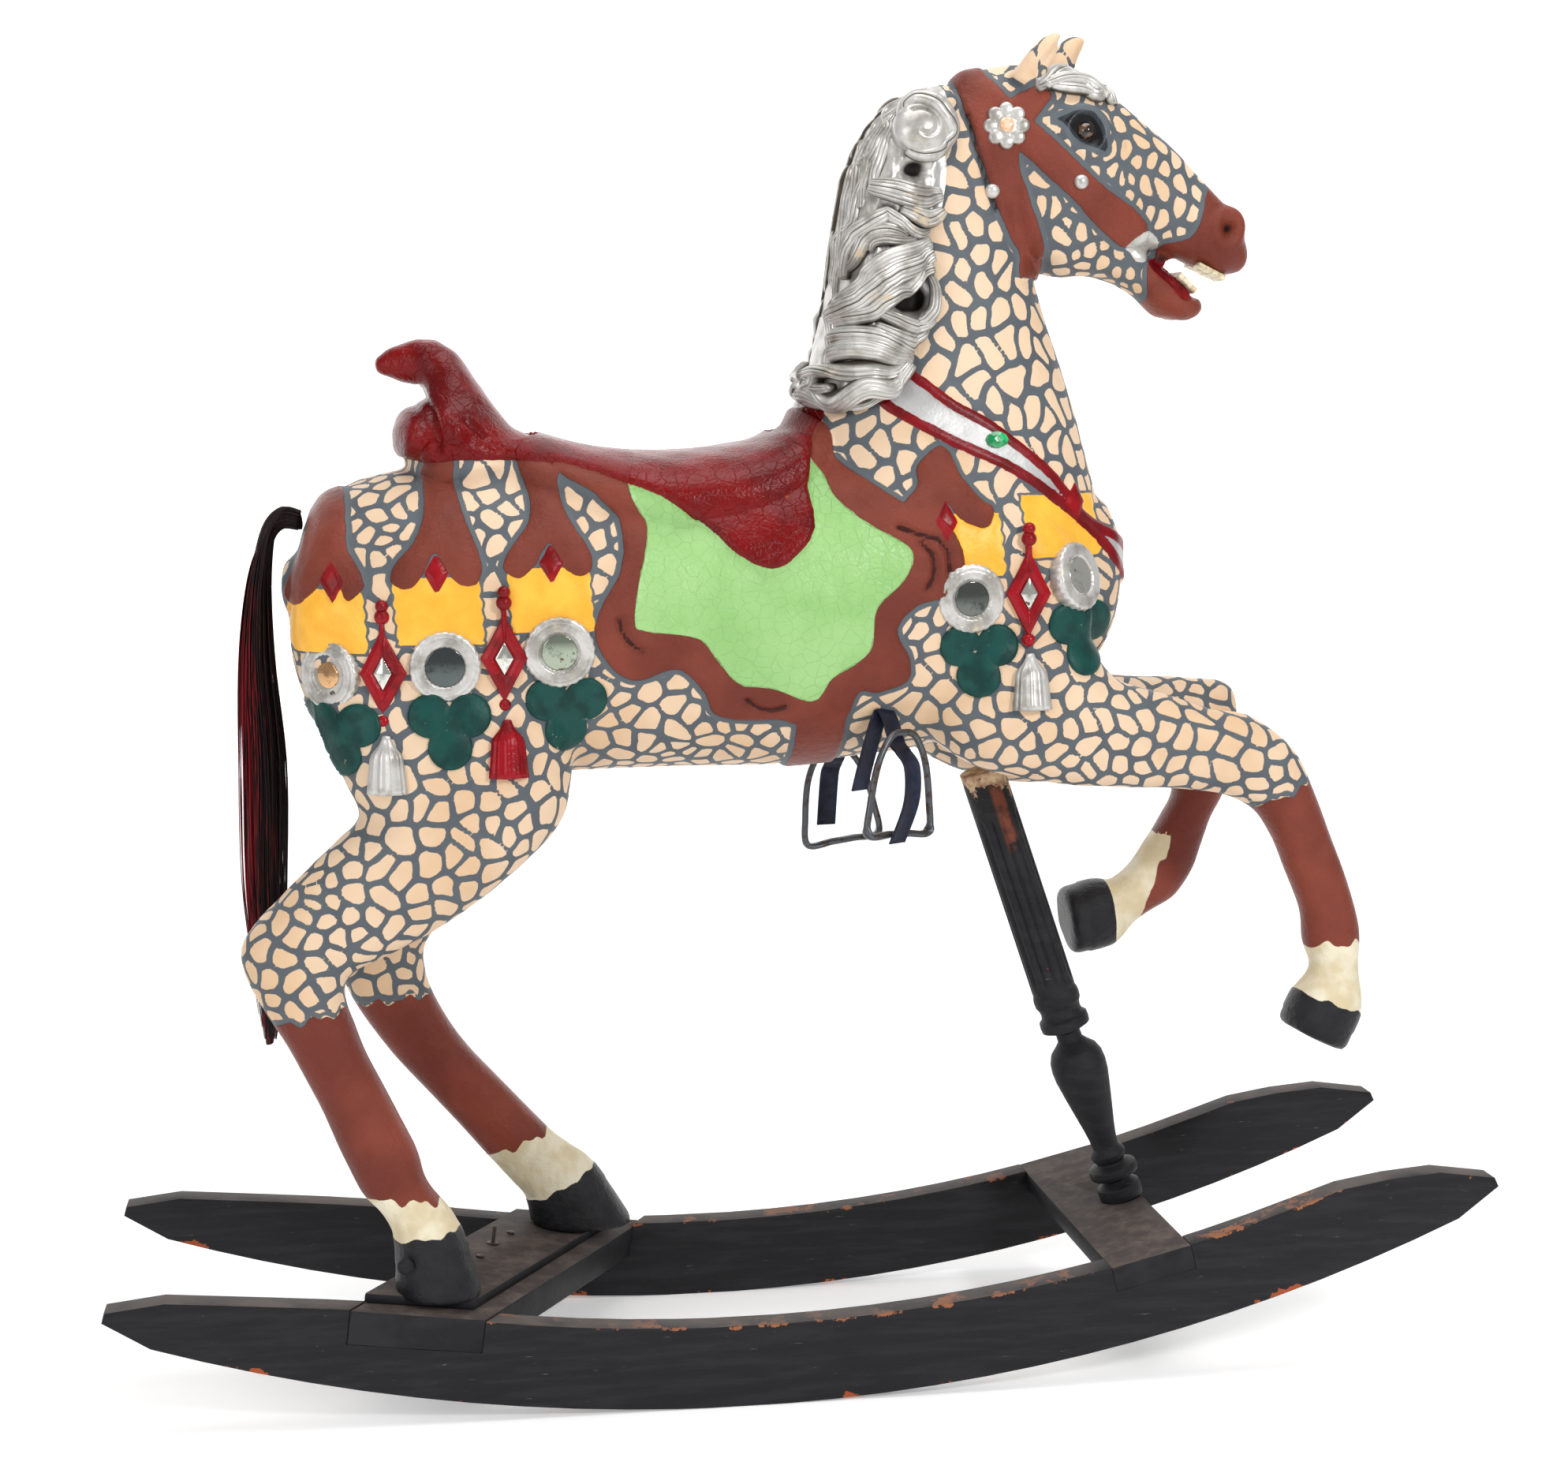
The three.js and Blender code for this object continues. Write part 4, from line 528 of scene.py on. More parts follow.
wave = 0.35 * np.sin(px * 1.7) + 0.25 * np.sin(px * 3.1 + py)
hind, fore = px < -15, px > 33
on_leg(near & hind, sock, 35.3 + 0.18 * (px + 58) + wave - pz)
on_leg(far & hind, sock, 31.6 + 0.12 * (px + 48) + wave - pz)
on_leg(near & fore & (px > 52) & (pz < 66), sock, (57.2 + 0.42 * (px - 57) + wave - pz) * 0.9)
on_leg(far & fore & (pz < 60), sock, 57.4 + wave - pz)
on_leg(near & hind, white, 14.2 - 0.10 * (px + 50) + wave - pz)
on_leg(far & hind, white, 10.6 + 0.38 * (px + 37) + wave - pz)
on_leg(near & fore & (px > 52), white, 38.9 + wave - pz)
on_leg(far & fore & (pz < 50), white, 47.0 + 0.3 * (pz - 42) + wave - px)
on_leg(near & hind, hoof, 9.4 + 0.12 * (px + 50) + 0.5 * wave - pz)
on_leg(far & hind, hoof, 3.9 + 0.52 * (px + 32.3) + 0.5 * wave - pz)
on_leg(near & fore & (px > 52), hoof, 33.1 - 0.38 * (px - 60.5) + 0.5 * wave - pz)
on_leg(far & fore & (pz < 50), hoof, 42.2 + 0.16 * (39 - pz) + 0.5 * wave - px)

# Spots painted near black as painted shade, and sunk where they lie in the mane: the nostril, holes between
# the mane's locks, the crevice behind the head and a line at the corner of the mouth.
shaded_hollow = np.maximum.reduce([
    np.where(px > 47, 0.55 - np.hypot(px - NOSTRIL[0], (pz - NOSTRIL[1]) * 0.9), -3),
    1.2 - np.hypot((px - 13.0) * 0.8, (pz - 131.7) * 1.3),
    2.1 - np.hypot(px - 12.1, (pz - 116.8) * 1.25),
    0.8 - np.hypot(px - 9.4, pz - 126.6),
    1.2 - np.hypot((px - 7.0) * 0.4, (pz - 108.4) * 1.6),
    np.where(pz > 119, crevice, -3),
    0.32 - np.abs(pz - 122.1 + 0.35 * (px - 44.6)) - 0.3 * np.abs(px - 44.9),
])

# Heights of the relief, in shares
rise = 0.42 * soft(np.minimum(cloth, -field)) + 0.25 * soft(field)
rise = np.maximum(rise, 0.42 * soft(girth))
rise = np.maximum(rise, 0.95 * soft(np.where(pz < 100.5, saddle, -3)) * soft(px + 33, 5))
fold = 0.5 + 0.5 * np.cos(np.clip(np.minimum(cloth, -field), 0, 3) * 2.6)
rise += 0.12 * fold * soft(np.minimum(cloth, -field) - 0.6) * (px > 5)
for values in strap_fields:
    rise = np.maximum(rise, (0.4 + 0.3 * soft(values - 0.9, 0.8)) * soft(values))
rise = np.maximum(rise, 0.16 * soft(panel))
rise = np.maximum(rise, 0.6 * soft(tongue, 0.6))
rise = np.maximum(rise, 0.42 * soft(breast) - 0.12 * soft(breast - 0.9))
rise = np.maximum(rise, 0.42 * soft(bridle))
rise = np.maximum(rise, 0.75 * soft(plate, 0.6))
cut = np.max([along(px, pz, a, b, 0.5) for path in CUTS for a, b in zip(path, path[1:])], axis=0)
rise -= 0.85 * soft(cut, 0.5)
rise -= np.where((px < -30) & (pz < 103), 0.45 * bell(saddle, 0.4), 0)
rise -= 0.5 * soft(mouth, 0.5) + 0.4 * soft(np.where(pz > 119, crevice, -3), 0.4)
hole_floor = np.where(mane_area > 0, shaded_hollow, -3)
rise -= 1.2 * soft(hole_floor, 0.9)
rise = np.where((hoof > -1) & (hoof < 3), rise + 0.12 * soft(hoof), rise)
eye_gap = np.hypot(px - EYE[0], pz - EYE[1])
on_face = (pz > 119) & (px > 27) & (np.abs(py) > 2)
rise += np.where(on_face, 0.42 * bell(eye_gap - 2.4, 0.7) - 0.55 * bell(eye_gap, 1.5), 0)
lid = np.abs((pz - EYE[1] - 2.6) + 0.35 * (px - EYE[0]) + 0.12 * (px - EYE[0]) ** 2)
rise += np.where(on_face & (eye_gap < 5), 0.28 * bell(lid, 0.45), 0)
hole = np.hypot(px - NOSTRIL[0], (pz - NOSTRIL[1]) * 0.8)
on_nose = (px > 47) & (np.abs(py) > 1.6)
rise += np.where(on_nose, 0.34 * bell(hole - 1.6, 0.6) - 1.7 * bell(hole, 0.8), 0)
smile = np.abs((pz - 121.6) + 0.62 * (px - 44.6))
rise += np.where((px > 42.4) & (px < 46) & (pz > 118), -0.35 * bell(smile, 0.5), 0)
ear_hollow = np.abs((pz - 143.4) - 1.05 * (px - 27.6))
rise += np.where((pz > 142.8) & (py < -3) & (px < 31), -0.4 * bell(ear_hollow, 0.5), 0)
ear = soft(np.where(np.abs(py) > 2.4, pz - 142.6, -3), 0.8) * (px > 23) * (px < 38)
comb = np.sin((px - 0.10 * (pz - 104) + 0.0016 * (pz - 118) ** 2) * 5.2)
rise += np.where(mane_area > 0.3, 0.12 * comb, 0)
wrinkle = np.sin(px * 1.7 + pz * 0.9) * np.sin(pz * 1.9 - px * 0.7 + py * 0.5)
rise += np.where((pz > 99) & (px < -37) & (saddle > 0), 0.05 * wrinkle, 0)
rise += 0.05 * np.sin(px * 0.9 + pz * 0.6) * np.sin(py * 0.8 + pz * 0.5)
skin = skin + out * (rise * SHARE)[:, None]
skin[:, 2] = np.where((pz < 4) & (px < -35) & near, np.maximum(skin[:, 2], SOLE + 0.016), skin[:, 2])
out = normals(skin, quads)
tree = BVHTree.FromPolygons(skin.tolist(), quads.tolist())

# The net of painted lines: the borders between cells grown from knots on the skin
knot_space = skin + 0.0045 * np.sin(skin[:, [2, 0, 1]] * 95 + skin[:, [1, 2, 0]] * 40)
knot_space[:, 2] -= 0.24 * np.maximum(skin[:, 2] - 1.05, 0)
knot_gap = np.where((px > 29) & (pz > 118), HEAD_KNOT_GAP, KNOT_GAP) * rng.uniform(0.72, 1.10, len(skin))
knot_gap[(pz > 142.4) & (px > 23) & (px < 38)] = EAR_KNOT_GAP
net = net_distance(knot_space, knot_space[spread(knot_space, knot_gap)], 0.0011)

low_cloth, low_sock = np.where(pz < 99, cloth, -3), np.where(sock > -1.2, sock, -3)
outline = 0.65 + np.maximum.reduce([low_cloth, girth, straps, bridle, panel - 0.35, low_sock, muzzle, almond])
outline = np.where((sock > 0) | (white > 0), -3, outline)
layers = {
    "outline": outline, "panel": panel, "brown": np.maximum.reduce([border, straps, bridle, sock, muzzle]),
    "tongue": tongue, "green": field, "breast": breast, "saddle": saddle,
    "silver": np.maximum(mane_area, plate), "almond": almond, "mouth": mouth, "white": white, "hoof": hoof,
    "shaded_hollow": shaded_hollow, "net": (net + 0.0012 * ear) / SHARE, "cut": cut,
}


# Placing things on the skin
def hit(x, z, side):
    """Where a line across the horse meets its skin, with the normal there."""
    start = Vector(world(x, side * 34, z))
    place, normal, _, _ = tree.ray_cast(start, Vector((0, -side, 0)))
    if place is None:
        place, normal, _, _ = tree.find_nearest(Vector(world(x, side * 6, z)))
    return np.array(place), np.array(normal)


def seat_frame(x, z, side, span=2.2):
    """Matrix with its Z out of the skin, its Y up the horse and its X along it."""
    u = hit(x + span, z, side)[0] - hit(x - span, z, side)[0]
    v = hit(x, z + span, side)[0] - hit(x, z - span, side)[0]
    w = np.cross(u, v) * -side
    w /= np.linalg.norm(w)
    v = v - w * v.dot(w)
    v /= np.linalg.norm(v)
    u = np.cross(v, w)
    place = hit(x, z, side)[0]
    return np.array([u, v, w]).T, place


def raised(frame_at, reach, height, root, rings=14, steps=72):
    """A carved boss: reach(angle) is its outline and height(radius share, angle) its relief, in metres."""
    turn, place = frame_at
    angle = np.linspace(0, 2 * np.pi, steps, endpoint=False)
    share = np.linspace(0, 1, rings + 1)[1:]
    radius = reach(angle)
    skirt = np.stack([radius * np.cos(angle), radius * np.sin(angle), np.full(steps, root)], -1)
    across, along_it = radius * np.cos(angle), radius * np.sin(angle)
    slopes = [np.stack([s * across, s * along_it, height(s, angle)], -1) for s in share[::-1]]
    rings_at = np.array([skirt] + slopes) @ turn.T + place
    low = np.array([0, 0, root]) @ turn.T + place
    high = np.array([0, 0, float(np.mean(height(0.0, angle)))]) @ turn.T + place
    return tube(rings_at, low, high)


def draped(x, z, side, reach, height, root, rings=14, steps=72):
    """A boss like raised, bent to lie on the skin."""
    angle = np.linspace(0, 2 * np.pi, steps, endpoint=False)
    radius = reach(angle) / SHARE

    def lay(s, high):
        spots = zip(x - side * s * radius * np.cos(angle), z + s * radius * np.sin(angle), high)
        return [place + normal * h for a, b, h in spots for place, normal in [hit(a, b, side)]]

    share = np.linspace(0, 1, rings + 1)[:0:-1]
    rings_at = np.array([lay(1, np.full(steps, root))] + [lay(s, height(s, angle)) for s in share])
    place, normal = hit(x, z, side)
    return tube(rings_at, place + normal * root, place + normal * float(np.mean(height(0.0, angle))))


def scallop(angle, count=26):
    return np.abs(np.sin(angle * count / 2))


def ring_height(s, angle):
    """A silver ring: a rim with a scalloped edge and a groove round the mirror's well."""
    rim = 0.0058 * soft(1 - s, 0.05) - 0.0012 * scallop(angle) * bell(s - 0.95, 0.05)
    return rim - 0.0010 * bell(s - 0.84, 0.02) - 0.0034 * soft(0.575 - s, 0.05)


def lobes(count_at, radius):
    """Outline and height of overlapping round lobes, seen from their middle."""
    centres = [(d * math.cos(a), d * math.sin(a), r) for a, d, r in count_at]

    def reach(angle):
        best = np.full(len(angle), radius * 0.2)
        for cx, cy, r in centres:
            b = cx * np.cos(angle) + cy * np.sin(angle)
            root = b * b - (cx * cx + cy * cy - r * r)
            best = np.maximum(best, np.where(root > 0, b + np.sqrt(np.maximum(root, 0)), 0))
        return best

    def height(s, angle):
        x, y = s * reach(angle) * np.cos(angle), s * reach(angle) * np.sin(angle)
        domes = [np.maximum(0, 1 - ((x - cx) ** 2 + (y - cy) ** 2) / r**2) ** 0.5 for cx, cy, r in centres]
        return 0.0026 + 0.0030 * np.max(domes, axis=0)

    return reach, height


def diamond_reach(angle, wide=0.0265, tall=0.050):
    edge = 1 / (np.abs(np.cos(angle)) / wide + np.abs(np.sin(angle)) / tall)
    neck, foot = 0.066 * bell(angle - np.pi / 2, 0.12), 0.052 * bell(angle - 3 * np.pi / 2, 0.12)
    return np.maximum(edge, np.maximum(neck, foot))


def diamond_height(s, angle):
    reach = diamond_reach(angle)
    return np.where(s * reach < 0.5 * np.minimum(reach, 0.036), 0.0028, 0.0075 - 0.0100 * np.abs(s - 0.72))


def bead(frame_at, up, size):
    turn, place = frame_at
    verts, faces = ellipsoid((0, 0, 0), (1, 1, 1), 0, 20)
    local = (verts - world(0, 0, 0)) / SHARE * np.array([size, size, 0.0085]) + np.array([0, up, 0.002])
    return local @ turn.T + place, faces


def tassel_mesh(frame_at, top, length, wide):
    turn, place = frame_at
    rows = np.linspace(0, 1, 14)
    angle = np.linspace(0, 2 * np.pi, 40, endpoint=False)
    radius = wide * (0.22 + 0.55 * np.clip(rows * 3, 0, 1) ** 1.5 * (rows > 0.05) + 0.3 * rows)
    strands = 1 + 0.10 * np.cos(angle * 11)[None] * (rows > 0.2)[:, None]
    rings_at = np.stack([
        radius[:, None] * np.cos(angle) * strands,
        top - length * rows[:, None] + 0 * angle,
        0.62 * radius[:, None] * np.sin(angle) * strands + 0.002,
    ], -1)
    tip = np.array([0, top + 0.001, 0.002])
    end = np.array([0, top - length - 0.002, 0.002])
    return tube(rings_at @ turn.T + place, tip @ turn.T + place, end @ turn.T + place)


DROPS = [
    (-55.8, 74.0, 1.4, 0.9), (-42.9, 75.1, 2.1, 0.4), (-29.9, 76.6, 1.9, 0.8), (18.3, 82.0, 1.9, 1.0),
    (31.6, 84.3, 2.1, 0.8),
]
PENDANTS = [(-49.8, 74.4, False), (-36.2, 76.0, True), (25.1, 82.5, False)]
RING = 0.041
leaf = lobes([(2.62, 0.026, 0.0245), (0.52, 0.026, 0.0245), (-1.57, 0.023, 0.0250), (0, 0, 0.02)], 0.03)
petals = lobes([(2 * np.pi * k / 8, 0.019, 0.0085) for k in range(8)] + [(0, 0, 0.013)], 0.016)


def disc(frame_at, radius, low, high, sides=40):
    turn, place = frame_at
    angle = np.linspace(0, 2 * np.pi, sides, endpoint=False)
    across, along_it = radius(angle) * np.cos(angle), radius(angle) * np.sin(angle)
    rows = [(1, low), (1, high - 0.0004), (0.94, high)]
    rings_at = np.array([np.stack([k * across, k * along_it, np.full(sides, h)], -1) for k, h in rows])
    return tube(rings_at @ turn.T + place, np.array([0, 0, low]) @ turn.T + place,
                np.array([0, 0, high + 0.0003]) @ turn.T + place)


def ring_reach(angle):
    return RING * (0.965 + 0.035 * scallop(angle))


def glass_diamond(angle):
    return 1 / (np.abs(np.cos(angle)) / 0.0105 + np.abs(np.sin(angle)) / 0.019)


def round_reach(radius):
    return lambda angle: radius + 0 * angle


def dome(base, rise_by):
    return lambda s, angle: base + rise_by * math.sqrt(max(0, 1 - 0.9 * s * s)) + 0 * angle


ROSETTE, STUDS = (24.1, 136.9), ((32.9, 130.4), (22.4, 129.3))
BEADS = ((0.064, 0.009), (0.076, 0.0075), (-0.054, 0.008))
silver_parts, red_parts, teal_parts, mirror_pieces = [], [], [], []
for side, word in SIDES:
    for k, (x, z, glass, leaf_x) in enumerate(DROPS):
        at = seat_frame(x, z, side, 2.6)
        silver_parts.append(raised(at, ring_reach, ring_height, ROOT, 30, 104))
        mirror = disc(at, round_reach(1.08 * glass * SHARE), 0.0012, 0.0042)
        mirror_pieces.append((f"ring_mirror_{word}_{k + 1}", mirror, k))
        teal_parts.append(draped(x + leaf_x, z - 6.8, side, *leaf, -0.010, 16, 96))
    for k, (x, z, red) in enumerate(PENDANTS):
        at = seat_frame(x, z, side, 3)
        red_parts.append(raised(at, diamond_reach, diamond_height, ROOT, 22, 160))
        red_parts.extend(bead(at, up, size) for up, size in BEADS)
        mirror_pieces.append((f"diamond_mirror_{word}_{k + 1}", disc(at, glass_diamond, 0.0022, 0.0050), 4))
        low = seat_frame(x + 0.2, z - 10.4, side, 2)
        (red_parts if red else silver_parts).append(tassel_mesh(low, 0.034, 0.066, 0.0205))
    silver_parts.append(raised(seat_frame(*ROSETTE, side, 1.6), *petals, -0.008, 14, 96))
    for x, z in STUDS:
        stud = raised(seat_frame(x, z, side, 1), round_reach(0.0085), dome(0, 0.007), -0.006, 8, 24)
        silver_parts.append(stud)

# The mane's locks and the forelock, ridged ribbons that lie on the mane's mass
def lock(path, half_width, thick, side, ridges=3, lift=0.0, depth=0.0, carve=0.34):
    path = np.asarray(path, float)
    length = np.linalg.norm(np.diff(path, axis=0), axis=1).sum()
    count = int(max(18, length * 3.2))
    curve = spline(path, count)
    hits = [hit(x, z, side) for x, z in curve]
    centre = np.array([p for p, _ in hits])
    normal = np.array([n for _, n in hits])
    for _ in range(6):
        centre[1:-1] = (centre[:-2] + 2 * centre[1:-1] + centre[2:]) / 4
        normal[1:-1] = (normal[:-2] + 2 * normal[1:-1] + normal[2:]) / 4
    normal[:, 1] += side * 0.4
    tangent = np.gradient(centre, axis=0)
    tangent /= np.linalg.norm(tangent, axis=1, keepdims=True)
    normal -= tangent * np.einsum("ij,ij->i", tangent, normal)[:, None]
    normal /= np.linalg.norm(normal, axis=1, keepdims=True)
    wide = np.cross(tangent, normal)
    t = np.linspace(0, 1, count)
    taper = 0.30 + 0.70 * np.sin(np.pi * np.clip(0.10 + 0.84 * t, 0, 1)) ** 0.7
    angle = np.linspace(0, 2 * np.pi, 52, endpoint=False)
    u, v = np.cos(angle), np.sin(angle)
    ridge = np.abs(np.sin(np.pi * ridges * (u * 0.5 + 0.5)))
    top = np.maximum(v, 0) ** 0.8 * (1 - carve + carve * ridge ** 0.8 + 0.16 * u)
    shape = np.where(v > 0, top, v * 0.9)
    swell = lift + depth * np.sin(np.pi * t)
    across = u * (half_width * SHARE * taper)[:, None]
    up = shape * (thick * SHARE * taper)[:, None] + (swell * SHARE)[:, None]
    rings_at = centre[:, None] + wide[:, None] * across[..., None] + normal[:, None] * up[..., None]
    tips = centre + normal * (swell * SHARE)[:, None]
    verts, faces = tube(rings_at, tips[0], tips[-1])
    ridged = np.tile(np.where(v > 0, ridge ** 0.7, 0.0), count)
    return verts, faces, np.append(ridged, [0.6, 0.6])


COMBS = [
    [(15.0, 140.9), (11.6, 139.3), (8.9, 136.8), (6.8, 133.3), (5.5, 129.3), (4.9, 124.9), (4.3, 120.1),
     (3.6, 114.9)],
    [(13.4, 139.9), (10.6, 138.2), (8.3, 135.6), (6.7, 132.2), (5.8, 128.6), (5.2, 124.7), (4.6, 120.6),
     (4.1, 116.4)],
    [(11.9, 138.9), (9.6, 136.8), (7.8, 134.1), (6.8, 131.2), (6.2, 128.0), (5.6, 124.8), (5.0, 121.8)],
    [(11.0, 138.0), (9.2, 135.6), (7.9, 132.7), (7.2, 129.9), (6.8, 127.2)],
    [(10.4, 136.4), (9.2, 133.8), (8.4, 131.2), (7.8, 128.8)],
]
LOCKS = [
    # [path, half width, thickness, ridges, lift]
    ([(8.1, 129.6), (10.7, 129.0), (13.5, 128.4), (16.2, 128.8)], 1.45, 1.0, 6, 0.3),
    ([(11.0, 127.3), (13.0, 126.2), (14.9, 125.9), (16.3, 126.9)], 1.1, 1.0, 4, 0.4),
    ([(10.7, 126.3), (11.4, 124.9), (13.0, 124.1), (14.6, 124.5)], 0.65, 0.8, 3, 0.4),
    ([(3.8, 118.9), (4.9, 120.6), (5.7, 122.6), (6.4, 124.0), (7.7, 125.3), (9.3, 125.9), (10.8, 125.5),
      (11.8, 124.4)], 1.05, 1.1, 4, 0.5),
    ([(5.4, 120.1), (6.6, 121.8), (7.0, 123.5), (8.1, 124.5), (9.9, 124.6), (11.6, 123.9)],
     0.95, 1.0, 4, 0.3),
    ([(7.4, 122.1), (8.0, 123.2), (9.3, 123.5), (11.1, 123.2), (12.7, 123.8)], 0.65, 0.9, 3, 0.2),
    ([(14.7, 123.2), (12.6, 122.4), (10.4, 121.6), (8.4, 120.6), (7.4, 119.0), (6.2, 117.4), (4.6, 116.2),
      (3.2, 115.4)], 1.15, 1.2, 5, 0.4),
    ([(14.9, 121.9), (12.6, 120.7), (10.2, 119.6), (8.4, 118.2), (7.1, 116.5), (5.6, 115.2), (3.5, 114.2),
      (1.8, 113.2), (1.1, 111.8)], 1.5, 1.5, 6, 0.6),
    ([(15.0, 120.2), (13.1, 119.5), (11.1, 118.5), (9.5, 117.2), (8.4, 115.6), (6.7, 114.4), (4.6, 113.8),
      (2.7, 113.2)], 1.0, 1.2, 4, 0.7),
    ([(14.8, 119.3), (15.2, 117.3), (14.9, 115.3), (13.9, 114.0), (12.2, 113.5), (10.6, 114.0)],
     0.75, 1.2, 3, 0.4),
    ([(8.2, 115.1), (9.5, 114.3), (11.3, 113.5), (13.4, 113.3), (14.9, 114.2)], 0.9, 1.1, 4, 0.5),
    ([(7.8, 113.4), (9.2, 112.5), (11.1, 111.9), (12.8, 111.9), (13.9, 112.7)], 0.85, 1.0, 3, 0.5),
    ([(8.5, 112.4), (10.0, 111.5), (11.4, 110.9), (12.6, 111.1)], 0.55, 0.9, 2, 0.5),
    ([(1.6, 110.0), (2.4, 111.2), (3.8, 112.1), (6.1, 112.4), (8.3, 112.0), (10.3, 111.0), (12.0, 110.4)],
     1.0, 1.1, 4, 0.4),
    ([(2.0, 108.7), (2.8, 109.9), (4.7, 110.6), (7.0, 110.6), (9.4, 110.0), (11.8, 109.9)],
     1.15, 1.2, 5, 0.5),
    ([(0.6, 106.9), (1.5, 107.4), (3.0, 108.1), (4.7, 108.9), (7.3, 109.3), (9.9, 108.9), (11.8, 109.3)],
     0.85, 1.3, 4, 0.7),
    ([(11.8, 108.7), (10.7, 107.3), (8.6, 106.6), (6.4, 106.7), (4.5, 105.9), (2.5, 104.9), (0.8, 105.1),
      (0.1, 106.0)], 1.25, 1.3, 5, 0.8),
    ([(9.2, 105.4), (7.3, 105.4), (5.3, 105.2), (3.4, 104.4), (1.6, 104.2), (0.3, 104.9)], 0.75, 1.0, 3, 0.5),
    ([(3.4, 106.6), (1.9, 106.2), (0.7, 106.7), (0.6, 107.6), (1.8, 107.8)], 0.8, 1.1, 3, 0.7),
]
CURL = [
    (11.4, 136.2), (12.0, 138.0), (13.3, 139.3), (15.0, 139.2), (16.3, 137.9), (16.5, 135.9), (15.5, 134.1),
    (13.6, 133.3), (11.9, 133.8),
]
FORELOCK = [
    ([(27.6, 141.6), (30.4, 143.0), (33.0, 143.4), (35.2, 142.9), (36.8, 141.3), (37.4, 139.6)],
     1.35, 1.2, 4, 0.2),
    ([(28.6, 141.4), (31.0, 142.2), (33.4, 142.2), (35.2, 141.6), (36.8, 140.2)], 1.05, 1.1, 4, 0.5),
    ([(29.4, 141.5), (31.6, 141.2), (33.8, 141.0), (35.4, 140.4)], 0.7, 0.8, 2, 0.5),
]


def scroll_height(s, angle):
    """The curl's rolled end: a dome with a groove that winds in from the front."""
    turn = np.mod(2.2 - angle, 2 * np.pi)
    groove = bell(s - 0.74 + 0.10 * turn, 0.08) * np.clip(1.25 - turn / 3.6, 0, 1) * (turn < 4.5)
    return 0.0250 * np.sqrt(np.maximum(0.04, 1 - 0.9 * s * s)) - 0.0075 * groove


def mane_side(side):
    parts = [lock(path, 0.75, 0.55, side, 3, 0.1) for path in COMBS]
    shown = LOCKS if side < 0 else LOCKS[3:9] + LOCKS[13:17]
    inset = 0 if side < 0 else 1.6
    crest = np.array(MANE)[::-1]
    for path, w, t, ridges, lift in shown:
        rear = [np.interp(z, crest[:, 1], crest[:, 0]) + 1.0 if z > 108 else -9 for _, z in path]
        laid = [(max(x, least) + inset, z) for (x, z), least in zip(path, rear)]
        parts.append(lock(laid, w * 1.06, t * 1.35, side, ridges, lift * 1.25, 0.25, 0.27))
    parts.append(lock(CURL, 1.35, 1.7, side, 2, 0.4, 0.3, 0.10))
    verts, faces = raised(
        seat_frame(13.5, 136.2, side, 2.2),
        lambda a: 0.0318 + 0.0010 * np.cos(2 * a),
        lambda s, a: scroll_height(s, a if side < 0 else np.pi - a),
        ROOT, 26, 90,
    )
    parts.append((verts, faces, np.ones(len(verts))))
    return parts


mane_parts = {word: mane_side(side) for side, word in SIDES}
forelock_parts = [
    lock(path, w, t, side, ridges, lift, carve=0.22)
    for side in (-1, 1) for path, w, t, ridges, lift in FORELOCK
]

# The post, the tail and the stirrups
POST_FOOT, POST_TOP = np.array([0.424, 0, 0.1502]), np.array([0.232, 0, 0.712])
POST_PROFILE = [
    (0.0, 0.0168), (0.008, 0.0168), (0.0105, 0.024), (0.013, 0.0272), (0.021, 0.0278), (0.029, 0.0270),
    (0.033, 0.021), (0.037, 0.0172), (0.041, 0.024), (0.044, 0.0302), (0.049, 0.0312), (0.055, 0.0302),
    (0.058, 0.024), (0.061, 0.0172), (0.066, 0.0205), (0.072, 0.0225), (0.077, 0.0205), (0.082, 0.0163),
    (0.095, 0.0175), (0.110, 0.0200), (0.134, 0.0250), (0.158, 0.0298), (0.180, 0.0338), (0.194, 0.0348),
    (0.206, 0.0335), (0.216, 0.0292), (0.224, 0.0210), (0.230, 0.0158), (0.241, 0.0155), (0.245, 0.024),
    (0.248, 0.0306), (0.254, 0.0312), (0.260, 0.0306), (0.264, 0.0262), (0.270, 0.0252), (0.276, 0.0262),
    (0.281, 0.0288), (0.288, 0.0292), (0.293, 0.0286), (0.297, 0.0272), (0.302, 0.0275), (0.60, 0.0275),
]
FLUTES = 12


def post_mesh():
    axis = POST_TOP - POST_FOOT
    length = np.linalg.norm(axis)
    w = axis / length
    v = np.array([0, 1.0, 0])
    u = np.cross(v, w)
    profile = np.array(POST_PROFILE)
    heights = np.unique(np.concatenate([np.linspace(0, length, 300), profile[:-1, 0]]))
    radius = np.interp(heights, profile[:, 0], profile[:, 1])
    angle = np.linspace(0, 2 * np.pi, 144, endpoint=False)
    cut = soft(heights - 0.312, 0.008) * soft(length - 0.062 - heights, 0.008)
    flute = 1 - np.abs(np.sin(FLUTES / 2 * angle)) ** 0.6
    radius = radius[:, None] - 0.0038 * cut[:, None] * flute
    rings_at = (
        POST_FOOT + w * heights[:, None, None]
        + u * (radius * np.cos(angle))[..., None] + v * (radius * np.sin(angle))[..., None]
    )
    return tube(rings_at, POST_FOOT, POST_TOP)


